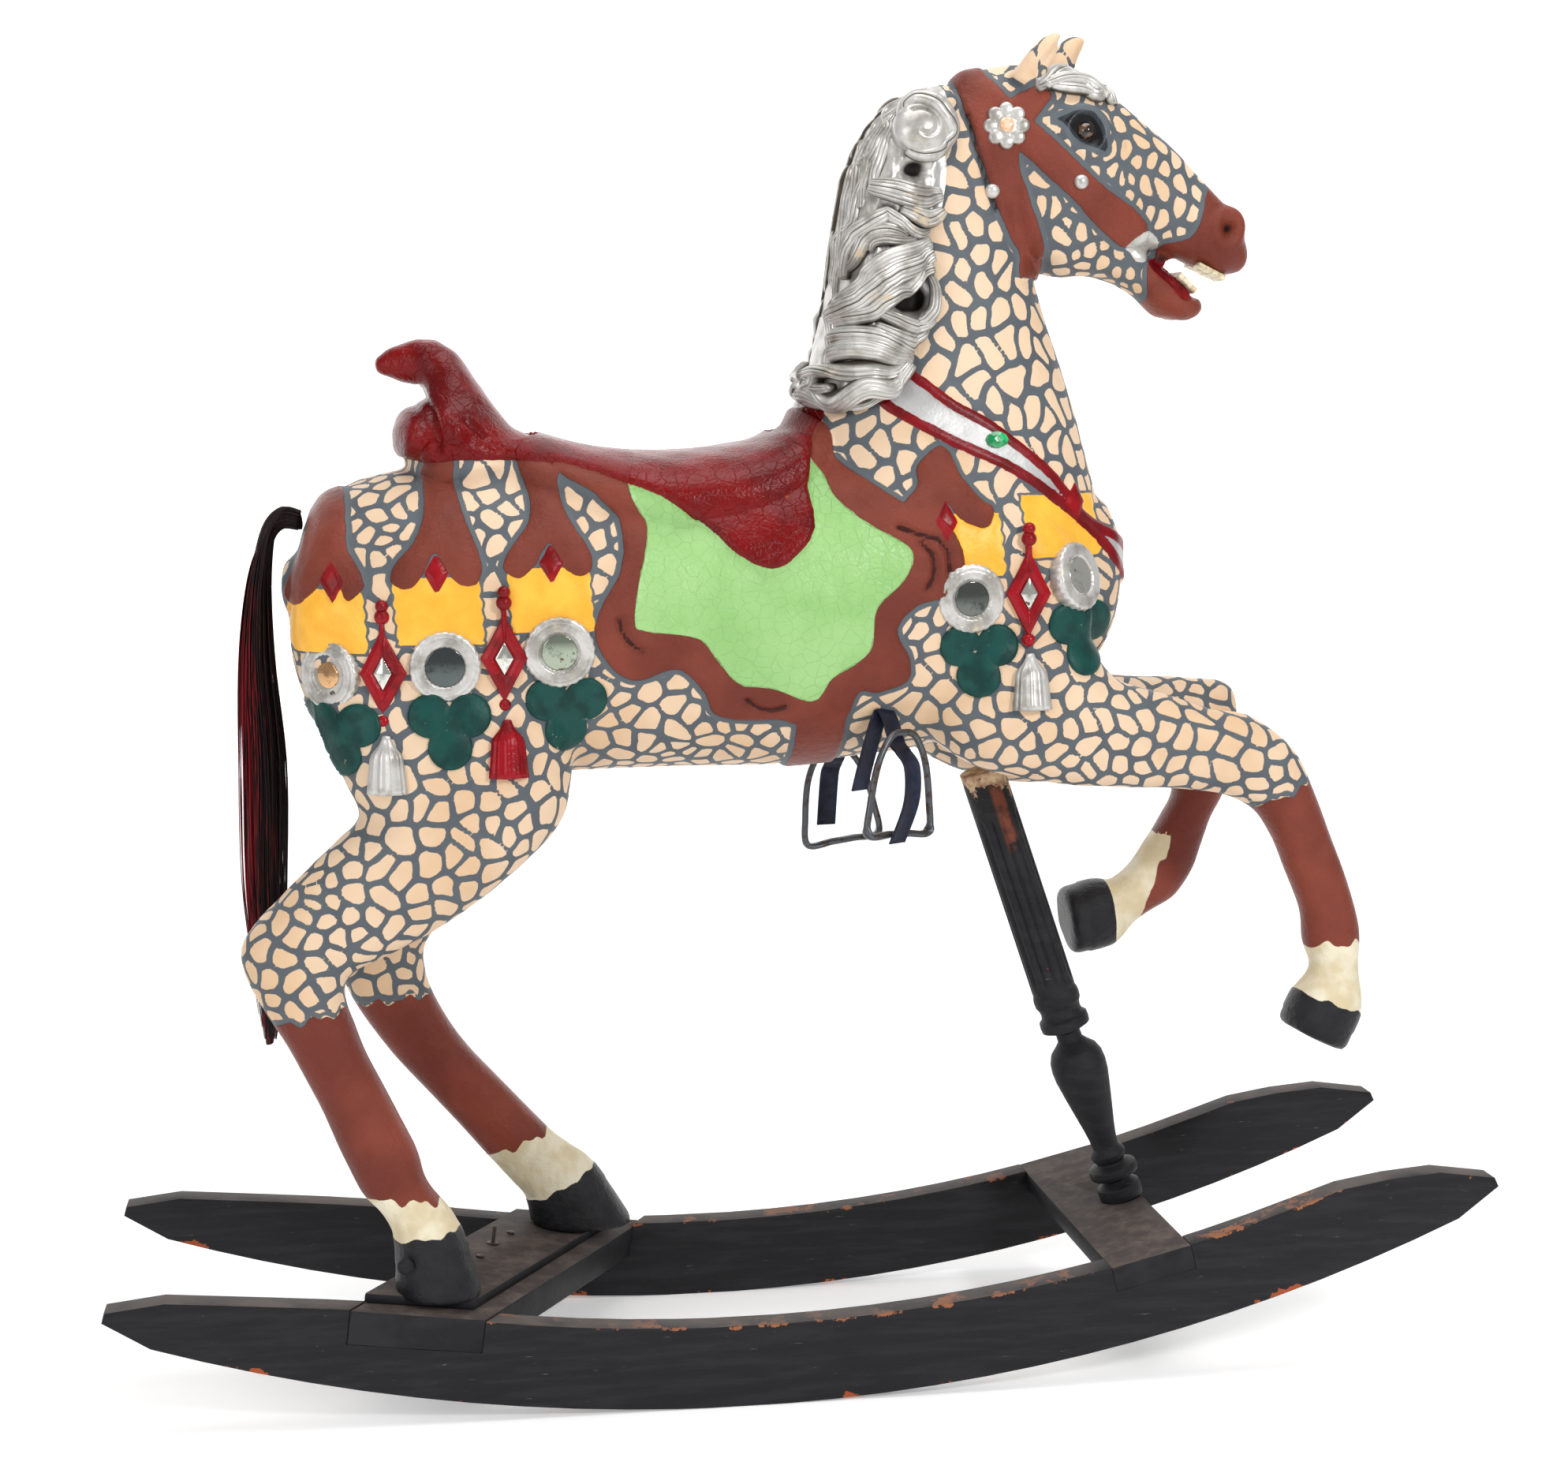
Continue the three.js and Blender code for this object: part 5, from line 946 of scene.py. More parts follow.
def strand(points, radius, sides=3):
    """A thin hair or wire along 3-D points, with a radius for each."""
    points, radius = np.asarray(points), np.asarray(radius)
    tangent = np.gradient(points, axis=0)
    tangent /= np.linalg.norm(tangent, axis=1, keepdims=True) + 1e-12
    side = np.cross(tangent, [0.13, 1, 0.07])
    side /= np.linalg.norm(side, axis=1, keepdims=True)
    up = np.cross(tangent, side)
    angle = np.linspace(0, 2 * np.pi, sides, endpoint=False)
    rings_at = (
        points[:, None] + side[:, None] * (radius[:, None] * np.cos(angle))[..., None]
        + up[:, None] * (radius[:, None] * np.sin(angle))[..., None]
    )
    return tube(rings_at, points[0], points[-1])


TAIL = [
    [-59.0, 92.2, -58.6, 89.9, 1.2], [-61.2, 92.6, -60.6, 90, 1.3], [-63.6, 90.2, -61.6, 88.2, 1.5],
    [-65.2, 84, -62.2, 83.4, 2], [-66.3, 74.4, -62, 74.4, 2.5], [-66.6, 62, -60.9, 62, 3],
    [-66.6, 48, -61.2, 48, 2.8], [-65.4, 36, -61.8, 36, 2], [-64.4, 28.6, -63, 28.8, 0.8],
]


def tail_hairs(count, reach, seed):
    """Hairs inside the hank's outline; each ends at its own height."""
    local = np.random.default_rng(seed)
    rows = np.array(TAIL)
    parts = []
    for _ in range(count):
        a, r = local.uniform(0, 2 * np.pi), math.sqrt(local.uniform(0, 1)) * 0.97
        stop = 1 - local.beta(1.2, 4.0) * 0.42
        samples = spline(rows, 40)[: max(12, int(40 * stop))]
        t = np.linspace(0, stop, len(samples))
        drift = 0.10 * np.sin(t * local.uniform(4, 11) + local.uniform(0, 6)) * t
        u, v = r * np.cos(a) + drift, r * np.sin(a) + 0.7 * drift[::-1]
        u, v = np.clip(u, -0.98, 0.98), np.clip(v, -0.98, 0.98)
        x = (samples[:, 0] + samples[:, 2]) / 2 + u * np.abs(samples[:, 0] - samples[:, 2]) / 2
        z = (samples[:, 1] + samples[:, 3]) / 2 - u * (samples[:, 3] - samples[:, 1]) / 2
        y = v * samples[:, 4]
        points = np.stack([x * SHARE, y * SHARE, z * SHARE + SOLE], -1)
        points[:, 2] -= 0.02 * np.clip(t - 0.8, 0, 1)
        parts.append(strand(points, reach * (1 - 0.75 * t**2)))
    return parts


CORE_SHARE = 0.66
core = np.array(TAIL)
tail_middle = core[:, [0, 2]].mean(1, keepdims=True)
core[:, [0, 2]] = tail_middle + (core[:, [0, 2]] - tail_middle) * CORE_SHARE
core[:, 4] *= CORE_SHARE

IRON_HEIGHT, IRON_HALF, WIRE = 0.118, 0.048, 0.0042


def iron_loop(top, turn, swing):
    w, h = IRON_HALF, IRON_HEIGHT
    shape = [
        (-w, 0.0), (-0.3 * w, -0.001), (0.3 * w, -0.001), (w, 0.0), (0.98 * w, 0.3 * h), (0.78 * w, 0.7 * h),
        (0.4 * w, 0.96 * h), (0, h), (-0.4 * w, 0.96 * h), (-0.78 * w, 0.7 * h), (-0.98 * w, 0.3 * h),
    ]
    path = closed_spline(shape, 12)
    tangent = np.roll(path, -1, 0) - np.roll(path, 1, 0)
    tangent /= np.linalg.norm(tangent, axis=1, keepdims=True)
    inward = np.stack([-tangent[:, 1], 0 * tangent[:, 0], tangent[:, 0]], -1)
    centre = np.stack([path[:, 0], 0 * path[:, 0], path[:, 1] - h], -1)
    thick = 1 + 0.9 * soft(0.006 - path[:, 1], 0.004)
    angle = np.linspace(0, 2 * np.pi, 14, endpoint=False)
    rings_at = (
        centre[:, None] + inward[:, None] * (WIRE * np.cos(angle))[None, :, None]
        + np.array([0, 1, 0]) * (WIRE * thick[:, None] * np.sin(angle)[None])[..., None]
    )
    n, m = rings_at.shape[:2]
    i, j = np.meshgrid(np.arange(n), np.arange(m), indexing="ij")
    ni, nj = (i + 1) % n, (j + 1) % m
    faces = np.stack([i * m + j, i * m + nj, ni * m + nj, ni * m + j], -1).reshape(-1, 4).tolist()
    turned = Matrix.Rotation(turn, 3, "Z") @ Matrix.Rotation(swing, 3, "Y")
    verts = rings_at.reshape(-1, 3) @ np.array(turned).T + world(*top)
    return verts, faces


def leather_band(points, turn, width=0.025, thick=0.003):
    curve = spline(points, 46) * SHARE + np.array([0, 0, SOLE])
    wide = np.array([math.cos(turn), math.sin(turn), 0])
    tangent = np.gradient(curve, axis=0)
    normal = np.cross(tangent, wide)
    normal /= np.linalg.norm(normal, axis=1, keepdims=True)
    corner = [
        (1, 0.3), (0.94, 1), (0.80, 1), (0.76, 0.8), (0, 0.9), (-0.76, 0.8), (-0.80, 1), (-0.94, 1),
        (-1, 0.3), (-1, -0.3), (-0.94, -1), (0.94, -1), (1, -0.3),
    ]
    rings_at = np.array([
        [c + wide * a * width / 2 + n * b * thick / 2 for a, b in corner] for c, n in zip(curve, normal)
    ])
    return tube(rings_at, curve[0], curve[-1])


STIRRUPS = {
    "right": ((10.0, -16.2, 66.6), 0.55, 0.06, [
        [(8.4, -12.6, 69.0), (8.9, -13.8, 67.8), (9.5, -15.0, 65.2), (10.0, -16.2, 64.3), (10.8, -17.4, 62.6),
         (10.6, -18.0, 58.6), (8.8, -18.6, 54.0)],
        [(8.2, -12.6, 69.0), (7.4, -13.4, 67.4), (6.2, -12.9, 62.6), (5.5, -12.6, 59.4)],
    ]),
    "left": ((7.4, 15.0, 60.6), 0.15, -0.12, [
        [(8.4, 12.6, 69.0), (8.5, 13.8, 67.4), (8.1, 13.7, 62.0), (7.6, 14.0, 59.6), (7.4, 15.1, 58.5),
         (7.2, 16.3, 56.8), (6.8, 16.4, 50.6)],
        [(8.6, 12.6, 69.0), (9.6, 13.6, 67.0), (10.8, 13.2, 63.6), (11.2, 13.0, 60.4)],
    ]),
}


# Materials
def tone(red, green, blue):
    """A colour given as it looks, made linear."""
    values = [c / 255 for c in (red, green, blue)]
    return tuple(c / 12.92 if c <= 0.04045 else ((c + 0.055) / 1.055) ** 2.4 for c in values) + (1.0,)


class Paint:
    """A material built up in layers of colour, roughness and metal."""

    def __init__(self, name, colour=(128, 128, 128), roughness=0.5, metal=0.0):
        self.mat = bpy.data.materials.new(name)
        self.mat.use_nodes = True
        self.tree = self.mat.node_tree
        self.shader = self.tree.nodes["Principled BSDF"]
        self.shader.inputs["Base Color"].default_value = tone(*colour)
        self.shader.inputs["Roughness"].default_value = roughness
        self.shader.inputs["Metallic"].default_value = metal
        self.shader.inputs["Specular IOR Level"].default_value = 0.22
        self.colour, self.rough, self.metal = tone(*colour), roughness, metal
        self.where = self.node("ShaderNodeTexCoord").outputs["Object"]

    def node(self, kind, inputs=(), **settings):
        made = self.tree.nodes.new(kind)
        for key, value in settings.items():
            setattr(made, key, value)
        for key, value in dict(inputs).items():
            self.put(made.inputs[key], value)
        return made

    def put(self, socket, value):
        if isinstance(value, bpy.types.NodeSocket):
            self.tree.links.new(value, socket)
        else:
            socket.default_value = value

    def calc(self, operation, *values):
        return self.node("ShaderNodeMath", dict(enumerate(values)), operation=operation).outputs[0]

    def noise(self, scale, detail=3.0, rough=0.55, at=None):
        inputs = {"Vector": at or self.where, "Scale": scale, "Detail": detail, "Roughness": rough}
        return self.node("ShaderNodeTexNoise", inputs).outputs[0]

    def shaken(self, value, amount, *noise):
        """The value, moved up and down by a noise."""
        around_zero = self.calc("SUBTRACT", self.noise(*noise), 0.5)
        return self.calc("ADD", value, self.calc("MULTIPLY", around_zero, amount))

    def axis(self, name, of=None):
        return self.node("ShaderNodeSeparateXYZ", {0: of or self.where}).outputs[name]

    def facing_up(self):
        return self.axis("Z", self.node("ShaderNodeNewGeometry").outputs["Normal"])

    def band(self, value, low, high):
        """0 below low, 1 above high."""
        made = self.node("ShaderNodeMapRange", {0: value, 1: low, 2: high}, interpolation_type="SMOOTHSTEP")
        return made.outputs[0]

    def mix(self, factor, a, b, colour=True):
        if colour:
            return self.node("ShaderNodeMix", {0: factor, 6: a, 7: b}, data_type="RGBA").outputs[2]
        return self.node("ShaderNodeMix", {0: factor, 2: a, 3: b}, data_type="FLOAT").outputs[0]

    def attribute(self, name):
        return self.node("ShaderNodeAttribute", attribute_name=name).outputs["Fac"]

    def varied(self, colour, other, scale=9.0):
        return self.mix(self.band(self.noise(scale), 0.35, 0.65), tone(*colour), tone(*other))

    def layer(self, factor, colour, roughness=None, metal=None):
        colour = tone(*colour) if isinstance(colour, tuple) and len(colour) == 3 else colour
        self.colour = self.mix(factor, self.colour, colour)
        if roughness is not None:
            self.rough = self.mix(factor, self.rough, roughness, colour=False)
        if metal is not None:
            self.metal = self.mix(factor, self.metal, metal, colour=False)

    def bump(self, height, distance, strength=1.0):
        made = self.node("ShaderNodeBump", {"Height": height, "Distance": distance, "Strength": strength})
        if self.shader.inputs["Normal"].links:
            self.tree.links.new(self.shader.inputs["Normal"].links[0].from_socket, made.inputs["Normal"])
        self.put(self.shader.inputs["Normal"], made.outputs[0])

    def done(self):
        self.put(self.shader.inputs["Base Color"], self.colour)
        self.put(self.shader.inputs["Roughness"], self.rough)
        self.put(self.shader.inputs["Metallic"], self.metal)
        return self.mat


CREAM, CREAM_SHADE, NET = (225, 197, 167), (216, 182, 146), (90, 97, 102)
BROWN, BROWN_SHADE = (130, 60, 44), (108, 46, 34)
SADDLE, SADDLE_SHADE = (122, 8, 10), (92, 5, 7)
GREEN, GREEN_SHADE = (156, 200, 130), (144, 190, 118)
ORANGE, ORANGE_SHADE = (250, 188, 70), (242, 174, 58)
# The last silver colour is painted shade, laid into the hollows of the mane's locks.
SILVER, SILVER_SHADE, SILVER_HOLLOW_SHADE = (206, 204, 200), (160, 156, 149), (84, 76, 68)
TEAL, TEAL_SHADE = (18, 70, 64), (10, 52, 48)
WHITE, WHITE_SHADE = (232, 224, 200), (214, 198, 162)
BLACK, BLACK_SHADE, BARE = (25, 25, 28), (36, 36, 39), (158, 78, 46)
# Mirror colours are painted reflections: each tint stands in for what that mirror reflects.
MIRROR_REFLECTION_TINTS = [(224, 176, 128), (92, 98, 98), (160, 170, 152), (104, 108, 104), (214, 214, 206)]


def silver_into(paint, factor):
    """Aluminium paint, mottled with darker, warmer patches; the painted shade in the hollows of the mane's
    locks is added in silver_paint.
    """
    patches = paint.band(paint.noise(34, 4), 0.42, 0.66)
    paint.layer(factor, paint.mix(patches, tone(*SILVER), tone(*SILVER_SHADE)), 0.36, 0.50)


def body_paint():
    p = Paint("horse_paint", CREAM, 0.46)
    line = p.shaken(p.attribute("net"), 0.0048, 46, 3)
    p.layer(p.band(p.noise(7, 4), 0.42, 0.68), CREAM_SHADE)
    p.layer(p.band(p.noise(150, 5, 0.75), 0.70, 0.74), (176, 158, 136), 0.6)
    p.layer(p.band(line, 0.0037, 0.0031), p.varied(NET, (84, 90, 96), 22), 0.52)
    wobble = p.shaken(0.0, 0.0030, 75, 2)

    def region(name, shift=0.0, edge=0.0005):
        return p.band(p.calc("ADD", p.attribute(name), wobble), shift - edge, shift + edge)

    p.layer(region("outline"), NET, 0.52)
    p.layer(region("panel"), p.varied(ORANGE, ORANGE_SHADE, 30), 0.34)
    p.layer(region("brown"), p.varied(BROWN, BROWN_SHADE, 8), 0.34)
    # Painted shade: dark brown in the carved cuts, where they run through brown paint.
    p.layer(p.calc("MULTIPLY", region("cut"), region("brown")), (66, 28, 24), 0.5)
    p.layer(region("green"), p.varied(GREEN, GREEN_SHADE, 12), 0.17)
    p.layer(region("breast"), p.varied((128, 12, 22), (100, 8, 14), 20), 0.34)
    p.layer(region("breast", 0.0122), p.varied((184, 184, 183), (166, 165, 163), 16), 0.40, 0.25)
    p.layer(region("saddle"), p.varied(SADDLE, SADDLE_SHADE, 14), 0.24)
    p.layer(region("tongue"), p.varied((150, 14, 24), (112, 8, 14), 40), 0.30)
    silver_into(p, region("silver"))
    p.layer(region("almond"), (44, 50, 56), 0.36)
    p.layer(region("almond", 0.0035), (20, 20, 22), 0.30)
    p.layer(region("mouth"), p.varied((150, 10, 26), (90, 4, 12), 60), 0.25)
    p.layer(region("white"), p.varied(WHITE, WHITE_SHADE, 26), 0.50)
    p.layer(region("hoof"), p.varied(BLACK, BLACK_SHADE, 20), 0.34)
    # Painted shade: near black in the nostrils, the holes between the mane's locks, the crevice behind the
    # head and the corner of the mouth.
    p.layer(region("shaded_hollow", 0.0, 0.003), (30, 24, 22), 0.6, 0.0)
    worn = p.calc("MULTIPLY", p.band(p.noise(38, 6, 0.7), 0.665, 0.69), p.band(p.noise(5, 2), 0.50, 0.60))
    p.layer(p.calc("MULTIPLY", worn, region("saddle")), (186, 74, 30), 0.5)
    p.layer(p.calc("MULTIPLY", worn, region("hoof")), BARE, 0.6)
    gloss = p.calc("MAXIMUM", region("saddle"), region("green"))
    crack = p.node("ShaderNodeTexVoronoi", {"Vector": p.where, "Scale": 62.0}, feature="DISTANCE_TO_EDGE")
    crackle = p.calc("MULTIPLY", p.band(crack.outputs[0], 0.0, 0.05), gloss)
    p.bump(p.noise(46, 4, 0.6), 0.0011, 0.8)
    p.bump(p.calc("MULTIPLY", p.noise(240, 3), p.calc("ADD", gloss, 0.35)), 0.0010, 0.8)
    p.bump(crackle, 0.0005, 0.8)
    p.bump(p.calc("MULTIPLY", p.noise(105, 5, 0.7), region("brown")), 0.0030, 0.9)
    return p.done()


def silver_paint(name, shaded_hollow=False):
    p = Paint(name, SILVER, 0.36, 0.55)
    silver_into(p, 1.0)
    # Painted shade: the hollows between each lock's ridges are darkened where shade falls in them.
    if shaded_hollow:
        p.layer(p.band(p.attribute("ridge"), 0.62, 0.08), SILVER_HOLLOW_SHADE, 0.7, 0.1)
    p.layer(p.band(p.noise(18, 5, 0.7), 0.60, 0.70), (208, 190, 160), 0.6, 0.0)
    p.bump(p.noise(90, 4), 0.0007, 0.7)
    return p.done()


def plain_paint(name, colour, shade, roughness, scale=24.0, bump=0.0006, chips=None):
    p = Paint(name, colour, roughness)
    p.layer(p.band(p.noise(scale, 4), 0.40, 0.66), shade, roughness + 0.06)
    if chips:
        p.layer(p.band(p.noise(52, 6, 0.72), 0.66, 0.68), chips, 0.6)
    p.bump(p.noise(70, 4, 0.6), bump, 0.8)
    p.bump(p.noise(280, 2), 0.0003, 0.6)
    return p.done()


ARC_RADIUS, ARC_TOP = 2.178, 2.081


def stand_paint(name, arc=None):
    """Black brushed paint over wood, worn to the wood and to grey along the boards' edges."""
    p = Paint(name, BLACK, 0.52)
    stretched = p.node("ShaderNodeMapping", {0: p.where, 3: (1.0, 7.0, 9.0)}).outputs[0]
    p.layer(p.band(p.noise(9, 5, at=stretched), 0.42, 0.66), BLACK_SHADE, 0.60)
    grey = p.calc("MULTIPLY", p.band(p.noise(30, 6, 0.75, at=stretched), 0.66, 0.70), 0.6)
    p.layer(grey, (120, 116, 112), 0.7)
    if arc is not None:
        flat = p.node("ShaderNodeVectorMath", {0: p.where, 1: (1.0, 0.0, 1.0)}, operation="MULTIPLY")
        away = p.node("ShaderNodeVectorMath", {0: flat.outputs[0], 1: arc}, operation="DISTANCE")
        away = away.outputs["Value"]
        low = p.band(p.calc("ABSOLUTE", p.calc("SUBTRACT", away, ARC_RADIUS)), 0.010, 0.001)
        high = p.band(p.calc("ABSOLUTE", p.calc("SUBTRACT", away, ARC_TOP)), 0.008, 0.001)
        worn_low = p.calc("ADD", p.noise(17, 6, 0.72), p.calc("MULTIPLY", low, 0.14))
        worn_high = p.calc("ADD", p.noise(21, 6, 0.72), p.calc("MULTIPLY", high, 0.16))
        p.layer(p.band(worn_low, 0.72, 0.74), BARE, 0.7)
        p.layer(p.band(worn_high, 0.71, 0.74), (150, 96, 66), 0.7)
        dust = p.calc("MULTIPLY", p.band(p.facing_up(), 0.75, 0.98), p.band(p.noise(12, 4), 0.25, 0.7))
        p.layer(dust, (98, 90, 86), 0.8)
    else:
        height = p.axis("Z")
        across = p.node("ShaderNodeVectorMath", {0: p.where, 1: (1.0, 0.0, 0.3416)}, operation="DOT_PRODUCT")
        across = p.calc("ABSOLUTE", p.calc("SUBTRACT", across.outputs["Value"], 0.480))
        rubbed_height = p.band(p.calc("ADD", height, p.calc("MULTIPLY", p.noise(60, 3), 0.06)), 0.640, 0.652)
        rubbed = p.calc("MULTIPLY", p.band(across, 0.011, 0.006), rubbed_height)
        p.layer(rubbed, p.varied((112, 60, 44), (66, 40, 34), 60), 0.6)
        putty = p.shaken(height, 0.13, 44, 5, 0.7)
        p.layer(p.band(putty, 0.690, 0.694), p.varied((214, 190, 152), (150, 112, 88), 60), 0.6)
        p.layer(p.band(p.noise(44, 6, 0.72), 0.69, 0.71), BARE, 0.7)
    p.bump(p.noise(60, 5, 0.6, at=stretched), 0.0009, 0.8)
    p.bump(p.noise(210, 2), 0.0004, 0.5)
    return p.done()


def dusty_paint():
    p = Paint("dusty_black_paint", (70, 62, 60), 0.8)
    p.layer(p.band(p.noise(26, 5, 0.7), 0.40, 0.68), (98, 88, 82), 0.86)
    p.layer(p.band(p.noise(60, 6, 0.75), 0.62, 0.68), (44, 42, 42), 0.7)
    p.layer(p.band(p.facing_up(), 0.72, 0.5), p.varied(BLACK, BLACK_SHADE, 20), 0.55)
    p.layer(p.band(p.noise(33, 6, 0.72), 0.71, 0.73), BARE, 0.7)
    p.bump(p.noise(80, 5), 0.0010, 0.8)
    return p.done()


def hair_paint():
    p = Paint("horsehair", (26, 12, 13), 0.46)
    streaks = p.node("ShaderNodeMapping", {0: p.where, 3: (60.0, 60.0, 2.0)}).outputs[0]
    rear = p.band(p.axis("X"), -0.628, -0.660)
    red = p.calc("ADD", p.noise(5.0, 3, at=streaks), p.calc("MULTIPLY", rear, 0.22))
    p.layer(p.band(red, 0.60, 0.72), (128, 18, 28), 0.42)
    p.layer(p.calc("MULTIPLY", p.band(p.axis("Z"), 0.80, 0.98), 0.7), (24, 8, 10), 0.5)
    p.bump(p.noise(9.0, 2, at=streaks), 0.0008, 0.8)
    return p.done()


def mirror_glass(name, colour):
    # The base colour is a painted reflection: the tint stands in for what this mirror reflects.
    p = Paint(name, colour, 0.12, 0.9)
    dull = tuple(int(0.72 * c) for c in colour)
    p.layer(p.band(p.noise(60, 5, 0.7), 0.52, 0.66), dull, 0.30, 0.7)
    p.layer(p.band(p.noise(150, 3), 0.64, 0.70), (96, 84, 62), 0.5, 0.3)
    p.bump(p.noise(30, 2), 0.0004, 0.4)
    return p.done()


def metal(name, colour, rust, roughness):
    p = Paint(name, colour, roughness, 0.85)
    p.layer(p.band(p.noise(70, 5, 0.7), 0.50, 0.64), rust, roughness + 0.25, 0.35)
    p.bump(p.noise(160, 4), 0.0003, 0.7)
    return p.done()


def leather_paint():
    p = Paint("strap_leather", (24, 28, 44), 0.42)
    p.layer(p.band(p.noise(45, 4), 0.45, 0.65), (38, 42, 62), 0.5)
    grain = p.node("ShaderNodeTexVoronoi", {"Vector": p.where, "Scale": 700.0}).outputs["Distance"]
    p.bump(grain, 0.0002, 0.6)
    return p.done()


def gem(name, colour, shade, depth):
    p = Paint(name, colour, 0.06)
    p.layer(p.band(p.noise(depth, 2), 0.42, 0.62), shade)
    p.shader.inputs["Coat Weight"].default_value = 1.0
    p.shader.inputs["Coat Roughness"].default_value = 0.03
    p.bump(p.noise(90, 2), 0.0002, 0.3)
    return p.done()


# The pieces
ARC_CENTRE = (-0.0946, 0.0, 2.1775)
paint = {
    "horse": body_paint(), "silver": silver_paint("aluminium_paint"),
    "mane": silver_paint("aluminium_mane", shaded_hollow=True),
    "red": plain_paint("red_paint", (150, 14, 26), (112, 8, 16), 0.26, 40, 0.0012),
    "teal": plain_paint("teal_paint", TEAL, TEAL_SHADE, 0.42, 40, 0.0010, (150, 150, 128)),
    "teeth": plain_paint("teeth_paint", (236, 226, 200), (206, 190, 152), 0.4, 90),
    "board": stand_paint("black_paint", ARC_CENTRE), "post": stand_paint("post_paint"),
    "dusty": dusty_paint(), "hair": hair_paint(), "leather": leather_paint(),
    **{f"mirror_{k}": mirror_glass(f"mirror_glass_{k}", colour) for k, colour in enumerate(MIRROR_REFLECTION_TINTS)},
    "iron": metal("stirrup_iron", (92, 94, 98), (70, 52, 42), 0.38),
    "steel": metal("screw_steel", (74, 70, 68), (82, 56, 40), 0.5),
    "eye": gem("eye_glass", (24, 16, 12), (92, 66, 46), 150.0),
    "green": gem("green_glass", (10, 128, 70), (30, 190, 110), 60.0),
    "peach": gem("peach_glass", (222, 170, 130), (236, 206, 178), 150.0),
}


def keep(obj, material, slot_name, *nodes):
    obj.data.materials.clear()
    obj.data.materials.append(paint[material])
    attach(obj, "root")
    if nodes:
        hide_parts(*nodes)


def carved(name, parts, material):
    keep(build(name, parts), material, "painted_wood", "horse_body")


def horse_section(name, chosen):
    """The chosen quads of the skin, with the whole skin's normals and paint distances."""
    used, local = np.unique(quads[chosen], return_inverse=True)
    mesh = bpy.data.meshes.new(name)
    mesh.from_pydata(skin[used].tolist(), [], local.reshape(-1, 4).tolist())
    mesh.shade_smooth()
    mesh.normals_split_custom_set_from_vertices(out[used].tolist())
    for key, values in layers.items():
        made = mesh.attributes.new(key, "FLOAT", "POINT")
        made.data.foreach_set("value", (values[used] * SHARE).astype(np.float32))
    obj = bpy.data.objects.new(name, mesh)
    bpy.context.scene.collection.objects.link(obj)
    keep(obj, "horse", "painted_wood", "horse_body")


middle = skin[quads].mean(1)
head_part = (middle[:, 2] > 1.12 + 0.35 * np.clip(middle[:, 0], -1, 0)) & (middle[:, 0] > -0.10)
rear_part = (middle[:, 0] < -0.10) & ~head_part
horse_section("horse_head", head_part)
horse_section("horse_rear", rear_part)
horse_section("horse_front", ~head_part & ~rear_part)

for _, word in SIDES:
    carved(f"mane_{word}", mane_parts[word], "mane")
carved("forelock", forelock_parts, "mane")
carved("silver_ornaments", silver_parts, "silver")
carved("red_pendants", red_parts, "red")
carved("trefoils", teal_parts, "teal")
for name, mesh, k in mirror_pieces:
    keep(build(name + "_glass", [mesh]), f"mirror_{k}", "mirror", name)


def tooth_row(start, end, inner, outer, wide, count):
    """Square-cut teeth along a line; inner and outer are how far they reach across it."""
    start, end = np.array(start), np.array(end)
    run = (end - start) / np.linalg.norm(end - start)
    across = np.array([-run[1], run[0]])
    row = []
    for k in range(count):
        stations = []
        for f in (0.0, 0.5, 0.93):
            t = (k + f) / count
            at = start + (end - start) * t
            reach = outer[0] + (outer[1] - outer[0]) * t - 0.05 * (k % 2)
            half_width = wide[0] + (wide[1] - wide[0]) * t
            stations.append([*(at + across * inner), *(at - across * reach), half_width])
        row.append(limb(stations, sides=20, steps=2, full=5, dome=0.1))
    return row


teeth = tooth_row((48.9, 121.0), (52.6, 119.5), 0.35, (0.1, 0.5), (3.4, 2.2), 4)
teeth += tooth_row((46.6, 119.9), (49.0, 117.9), 0.35, (0.5, 0.5), (3.1, 2.0), 4)
carved("teeth", teeth, "teeth")
carved("hoof_bolt", [ellipsoid((-48.7, -20.9, 7.0), (1.0, 0.7, 1.0))], "post")


def oval(angle):
    return 1 / np.sqrt((np.cos(angle) / 0.0135) ** 2 + (np.sin(angle) / 0.0095) ** 2)


def cut_dome(s, angle):
    return 0.002 + 0.0055 * (1 - max(0.0, s - 0.45) * 1.1) + 0 * angle


for side, word in SIDES:
    eye = ellipsoid((EYE[0], side * 5.9, EYE[1]), (1.2, 1.3, 1.2), 0, 40)
    keep(build(f"eye_{word}", [eye]), "eye", "eye_glass", f"glass_eye_{word}")
    jewel = raised(seat_frame(*ROSETTE, side, 1.6), round_reach(0.0088), dome(0.0062, 0.0042), 0.002, 10, 32)
    keep(build(f"rosette_jewel_{word}", [jewel]), "peach", "peach_glass", f"bridle_jewel_{word}")
    jewel = raised(seat_frame(22.0, 100.3, side, 2), oval, cut_dome, -0.004, 8, 12)
    jewel = build(f"strap_jewel_{word}", [jewel], smooth=False)
    keep(jewel, "green", "green_glass", f"breast_jewel_{word}")

tail_parts = [limb(core.tolist(), sides=24, dome=0.4)] + tail_hairs(300, 0.0011, 5)
keep(build("tail_hair", tail_parts), "hair", "horsehair", "tail")
for word, (top, turn, swing, bands) in STIRRUPS.items():
    iron = build(f"iron_{word}", [iron_loop(top, turn, swing)])
    keep(iron, "iron", "stirrup_iron", f"stirrup_iron_{word}")
    leather = build(f"leather_{word}", [leather_band(points, turn) for points in bands])
    keep(leather, "leather", "strap_leather", f"stirrup_leather_{word}")
keep(build("turned_post", [post_mesh()]), "post", "black_paint", "post")


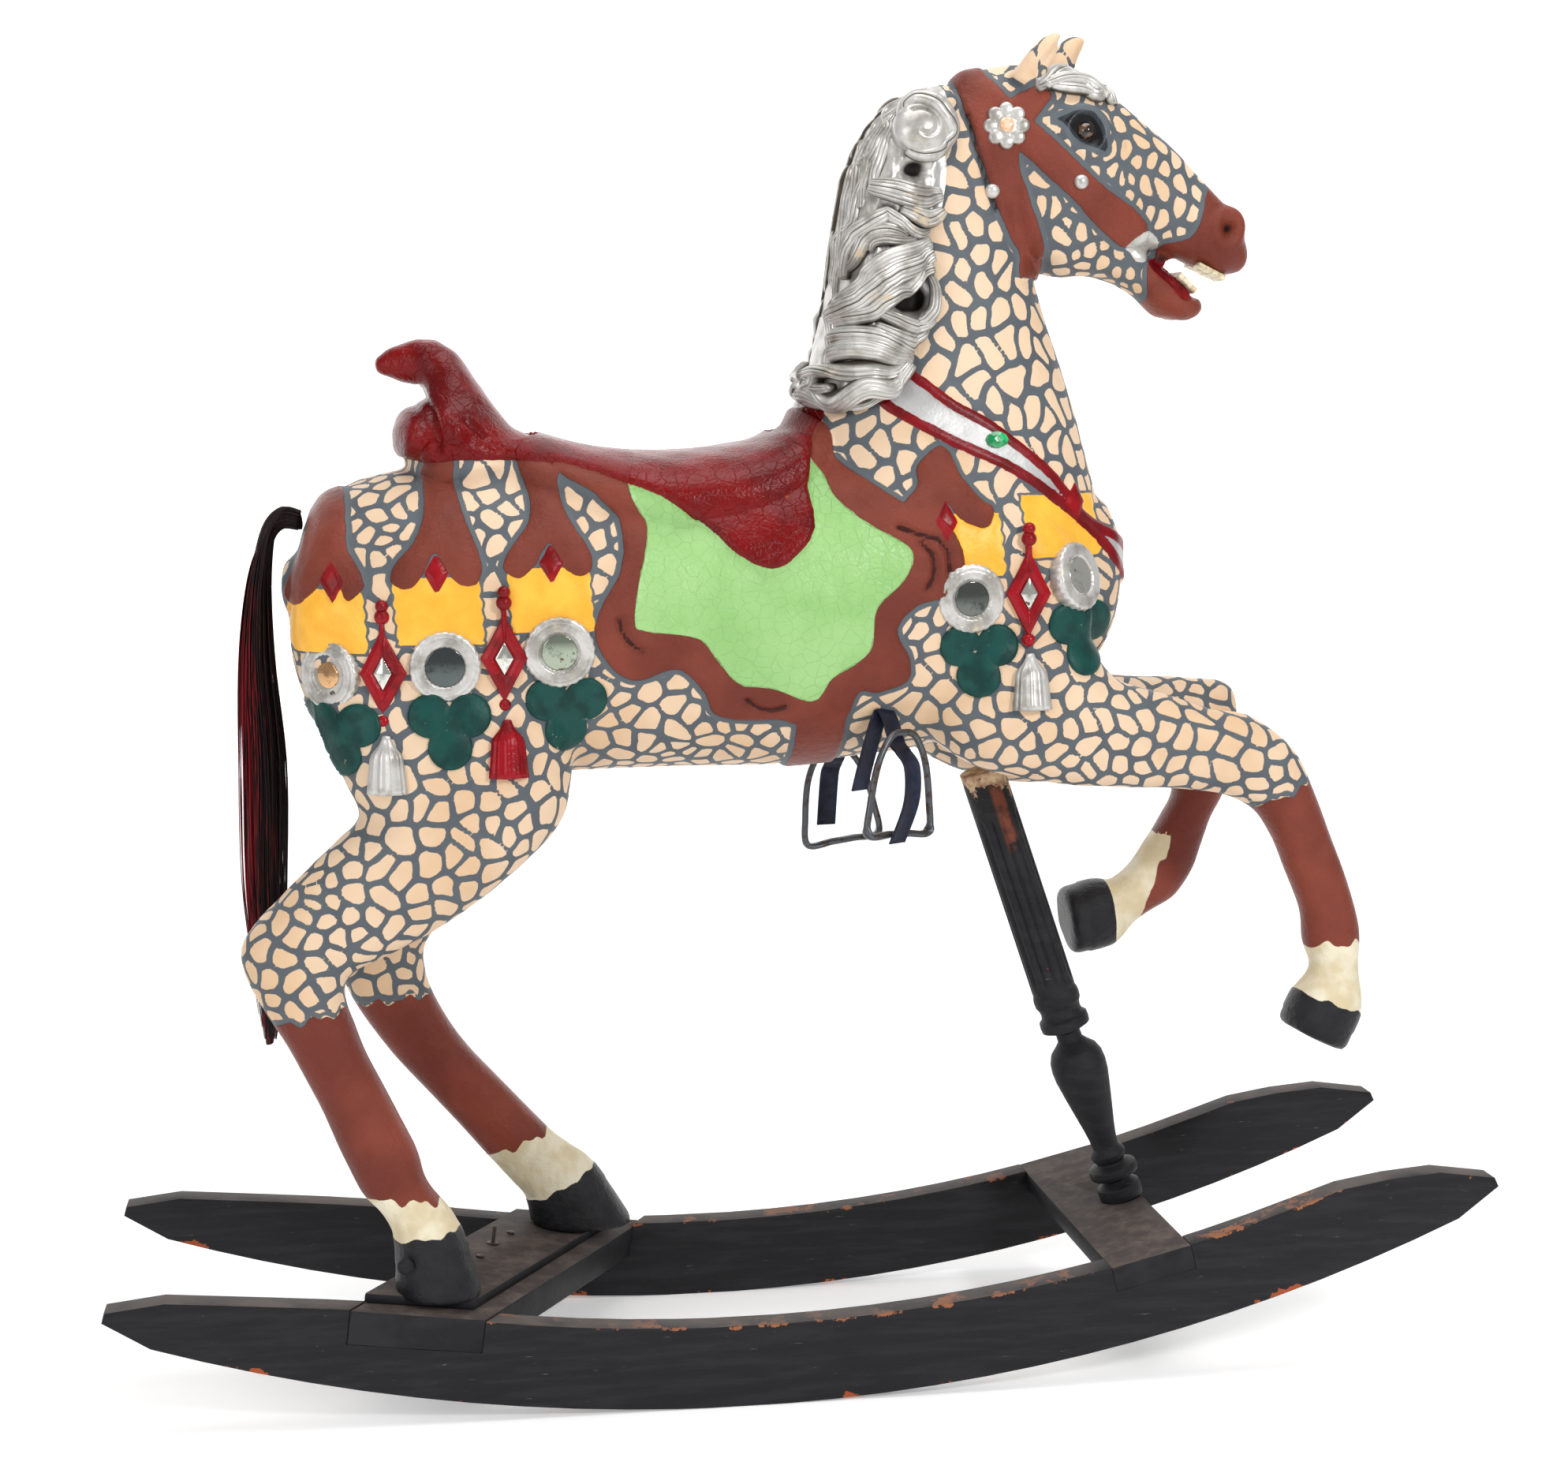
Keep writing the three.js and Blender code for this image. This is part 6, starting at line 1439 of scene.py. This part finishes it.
def eased(node, name, material, slot_name, width):
    """A copy of a plain board with its edges eased by wear."""
    obj = bpy.data.objects.new(name, frame["nodes"][node].data.copy())
    bpy.context.scene.collection.objects.link(obj)
    welded = obj.modifiers.new("weld", "WELD")
    welded.merge_threshold = 0.00005
    bevel = obj.modifiers.new("ease", "BEVEL")
    bevel.width, bevel.segments = width, 3
    bevel.limit_method, bevel.angle_limit = "ANGLE", math.radians(28)
    bevel.harden_normals = True
    graph = bpy.context.evaluated_depsgraph_get()
    result = bpy.data.meshes.new_from_object(obj.evaluated_get(graph))
    obj.modifiers.clear()
    obj.data = result
    result.shade_smooth()
    result.set_sharp_from_angle(angle=math.radians(30))
    keep(obj, material, slot_name, node)


for _, word in SIDES:
    eased(f"rocker_{word}", f"board_{word}", "board", "black_paint", 0.0035)
for node in ("front_crossbar", "rear_crossbar", "hoof_plate"):
    eased(node, f"{node}_wood", "dusty", "dusty_black_paint", 0.0022)
for node in ("plate_screw_standing", "plate_screw_near", "plate_screw_far"):
    eased(node, f"{node}_steel", "steel", "screw_steel", 0.0006)

# Floor, backdrop, light and camera
HALF_STAGE, STAGE_FRONT, STAGE_BACK, BACKDROP_TOP, FLOOR_LEVEL = 9, -7, 5, 7, -0.0005


def stage_sheet(name, corners, material, shade, glow):
    mesh = bpy.data.meshes.new(name)
    mesh.from_pydata(corners, [], [(0, 1, 2, 3)])
    sheet = bpy.data.objects.new(name, mesh)
    bpy.context.scene.collection.objects.link(sheet)
    made = Paint(material, (shade, shade, shade), 0.9)
    made.shader.inputs["Emission Color"].default_value = (1, 1, 1, 1)
    made.shader.inputs["Emission Strength"].default_value = glow
    mesh.materials.append(made.mat)
    return sheet


floor = stage_sheet("floor", [
    (-HALF_STAGE, STAGE_FRONT, FLOOR_LEVEL), (HALF_STAGE, STAGE_FRONT, FLOOR_LEVEL),
    (HALF_STAGE, STAGE_BACK, FLOOR_LEVEL), (-HALF_STAGE, STAGE_BACK, FLOOR_LEVEL),
], "pale_floor", 246, 0.30)
backdrop = stage_sheet("backdrop", [
    (-HALF_STAGE, STAGE_BACK, 0), (HALF_STAGE, STAGE_BACK, 0),
    (HALF_STAGE, STAGE_BACK, BACKDROP_TOP), (-HALF_STAGE, STAGE_BACK, BACKDROP_TOP),
], "white_backdrop", 250, 0.85)

sky = bpy.data.worlds.new("studio")
bpy.context.scene.world = sky
sky.use_nodes = True
sky.node_tree.nodes["Background"].inputs[0].default_value = (1, 1, 1, 1)
sky.node_tree.nodes["Background"].inputs[1].default_value = 0.36


def softbox(name, place, target, size, power):
    data = bpy.data.lights.new(name, "AREA")
    data.shape, data.size, data.size_y, data.energy = "RECTANGLE", size[0], size[1], power
    lamp = bpy.data.objects.new(name, data)
    lamp.location = place
    lamp.rotation_euler = (Vector(target) - Vector(place)).to_track_quat("-Z", "Y").to_euler()
    bpy.context.scene.collection.objects.link(lamp)


softbox("key", (1.7, -3.3, 2.5), (0, 0, 0.85), (0.55, 0.55), 66)
softbox("fill", (-2.9, -3.0, 1.7), (0, 0, 0.7), (1.8, 1.8), 36)
softbox("top", (0.2, -0.3, 3.6), (0, 0, 0.8), (2.8, 1.6), 54)

CAMERA_PLACE, CAMERA_DOWN, CAMERA_TURN = (-0.577, -3.373, 1.209), 0.1312, -0.1654
LENS, SENSOR = 65.19, 36.0
camera_data = bpy.data.cameras.new("camera")
camera_data.lens, camera_data.sensor_width, camera_data.sensor_fit = LENS, SENSOR, "HORIZONTAL"
camera = bpy.data.objects.new("camera", camera_data)
camera.location = CAMERA_PLACE
camera.rotation_euler = (math.pi / 2 - CAMERA_DOWN, 0.0, CAMERA_TURN)
bpy.context.scene.collection.objects.link(camera)
bpy.context.scene.camera = camera
bpy.context.scene.view_settings.view_transform = "Standard"
